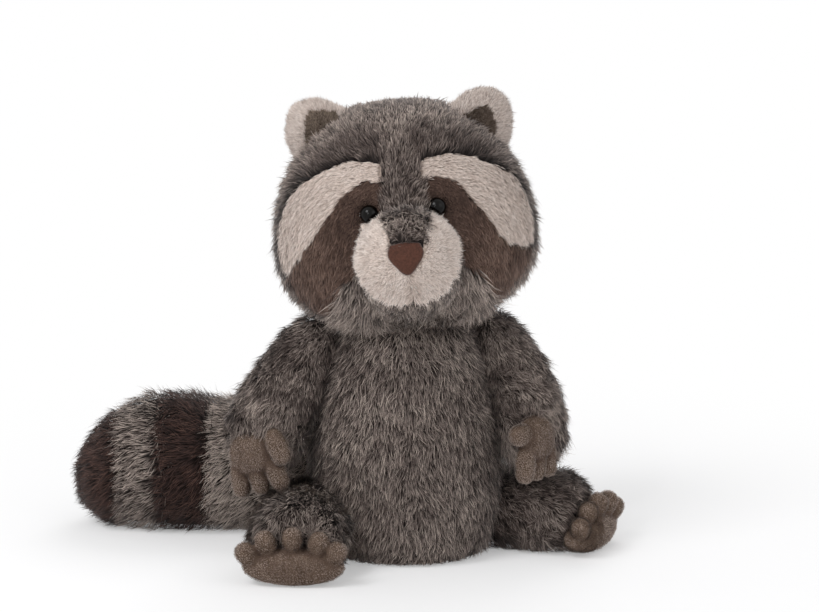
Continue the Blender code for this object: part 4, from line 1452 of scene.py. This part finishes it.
@dataclass
class Studio:
    """The floor, lamps, world and camera.

    Attributes:
        finishes: the materials.
        elevation: how far the camera looks down.
        distance: from the camera to what it looks at.
        target: what the camera looks at.
        lens: the camera's focal length in millimetres.
        ambient: the strength of the light from all round.
        lit: what the lamps are aimed at.
        lamps: each lamp's name, place, size and power.
    """

    finishes: Finishes
    elevation: float = math.radians(10)
    distance: float = 1.60
    target: Way = (0.0026, 0.0, 0.1438)
    lens: float = 122.3
    ambient: float = 0.55
    lit: Way = (0.0, 0.0, 0.12)
    lamps: Sequence[tuple[str, Way, float, float]] = (
        ("key", (-0.9, -1.0, 1.5), 0.8, 16.2), ("fill", (1.3, -0.9, 0.9), 1.2, 4.0),
        ("back", (0.2, 1.2, 1.3), 1.0, 7.0), ("catchlight", (-0.45, -1.3, 0.75), 0.10, 2.0))

    def _floor(self) -> None:
        """Lay the floor."""
        shape = bmesh.new()
        bmesh.ops.create_grid(shape, x_segments=1, y_segments=1, size=20.0)
        floor = solid("studio_floor", shape)
        floor.data.materials.append(self.finishes.floor())
        floor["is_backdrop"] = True

    def _lamps(self) -> None:
        """Hang the lamps, each aimed at the toy."""
        for name, place, size, power in self.lamps:
            data = bpy.data.lights.new(name, "AREA")
            data.shape, data.size, data.energy = "SQUARE", size, power
            lamp = linked(name, data)
            lamp.location = Vector(place)
            lamp.rotation_euler = (Vector(self.lit) - lamp.location).to_track_quat("-Z", "Y").to_euler()

    def _world(self) -> None:
        """A white surround that lights the toy more weakly than it shows."""
        world = bpy.context.scene.world = bpy.data.worlds.new("studio")
        world.use_nodes = True
        net = NodeCanvas(world.node_tree)
        strength = net.math("MULTIPLY_ADD", background_rays(net), 1.0 - self.ambient, self.ambient)
        net.fill(world.node_tree.nodes["Background"], {"Color": (1, 1, 1, 1), "Strength": strength})

    def _camera(self) -> None:
        """Put the camera at the photograph's angle."""
        data = bpy.data.cameras.new("camera")
        data.sensor_width, data.lens, data.clip_start, data.clip_end = 36.0, self.lens, 0.05, 60.0
        camera = linked("camera", data)
        back = Vector((0.0, -math.cos(self.elevation), math.sin(self.elevation)))
        camera.location = Vector(self.target) + back * self.distance
        camera.rotation_euler = (math.pi / 2 - self.elevation, 0.0, 0.0)
        bpy.context.scene.camera = camera

    def build(self) -> None:
        """Set up the studio."""
        for part in (self._floor, self._world, self._lamps, self._camera):
            part()
        bpy.context.scene.view_settings.view_transform = "Standard"


def dress_hidden(shop: Workshop) -> None:
    """Give the CAD nodes that stay their own materials."""
    fill = shop.finishes.mottled("fibre_fill", "#cfcbc4", "#ece9e3", 0.003)
    washer = shop.finishes.mottled("washer_plastic", "#c9c7c2", "#d8d6d1", 1 / 300, 0.4, 0.5,
                                   grain=SMOOTH_GRAIN)
    for name, material in (("head_stuffing", fill), ("eye_washer_left", washer), ("eye_washer_right", washer)):
        for slot in shop.surfaces.nodes[name].material_slots:
            slot.material = material


def note_size(label: str, store: dict[str, list[list[float]]]) -> None:
    """Args:
        label: the moment that the box was measured.
        store: what has been measured so far.
    """
    low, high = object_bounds()
    store[label] = [list(low), list(high)]


def body_parts(shop: Workshop) -> list[Pelt | Ear]:
    """The pieces below and beside the head, not yet built."""
    sleeve = TailSleeve.cut
    return [
        Torso("torso", shop),
        Arm("arm_left", shop, way=(0.42, -0.22, -0.88)),
        Arm("arm_right", shop, way=(-0.44, -0.30, -0.85)),
        # Painted shade darkens the left leg, which is turned from the key lamp, and painted light pales the
        # right one.
        Leg("leg_left", shop, way=(0.94, -0.34, -0.35), shade=-0.22),
        Leg("leg_right", shop, way=(-0.09, -1.0, -0.35), shade=0.10),
        Paw("hand_left", shop, way=(0.02, -0.06, -1.0)),
        Paw("hand_right", shop, way=(0.2, -0.08, -0.96)),
        # Painted light: the left foot is paler, so that its sole does not render dark.
        Foot("foot_left", shop, shade=0.20),
        Foot("foot_right", shop),
        Ear(shop, "left"),
        Ear(shop, "right", lining_shade=0.20),
        TailSleeve("tail_base", shop, shade=0.46),
        TailSleeve("tail_band_brown", shop, BROWN, replace(sleeve, fibres=11500, seed=62)),
        TailSleeve("tail_band_grey", shop, cut=replace(sleeve, fibres=9000, seed=63), shade=0.14),
        TailSleeve("tail_tip", shop, BROWN, replace(sleeve, fibres=11500, seed=64)),
    ]


def main() -> None:
    """Build the toy in order, then the studio round it."""
    logging.basicConfig(level=logging.INFO, format="%(name)s: %(message)s", stream=sys.stdout)
    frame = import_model()
    sizes: dict[str, list[list[float]]] = {}
    note_size("cad", sizes)
    shop = Workshop(Surfaces(frame["nodes"]), Finishes(), PileGroup(), FaceFrame.read())
    count = sum(piece.build() for piece in [Head(shop), *body_parts(shop), Nose(shop), Eyes(shop)])
    LOG.info("whole toy: %d triangles", count)
    dress_hidden(shop)
    Studio(shop.finishes).build()
    note_size("visual", sizes)


if __name__ == "__main__":
    main()
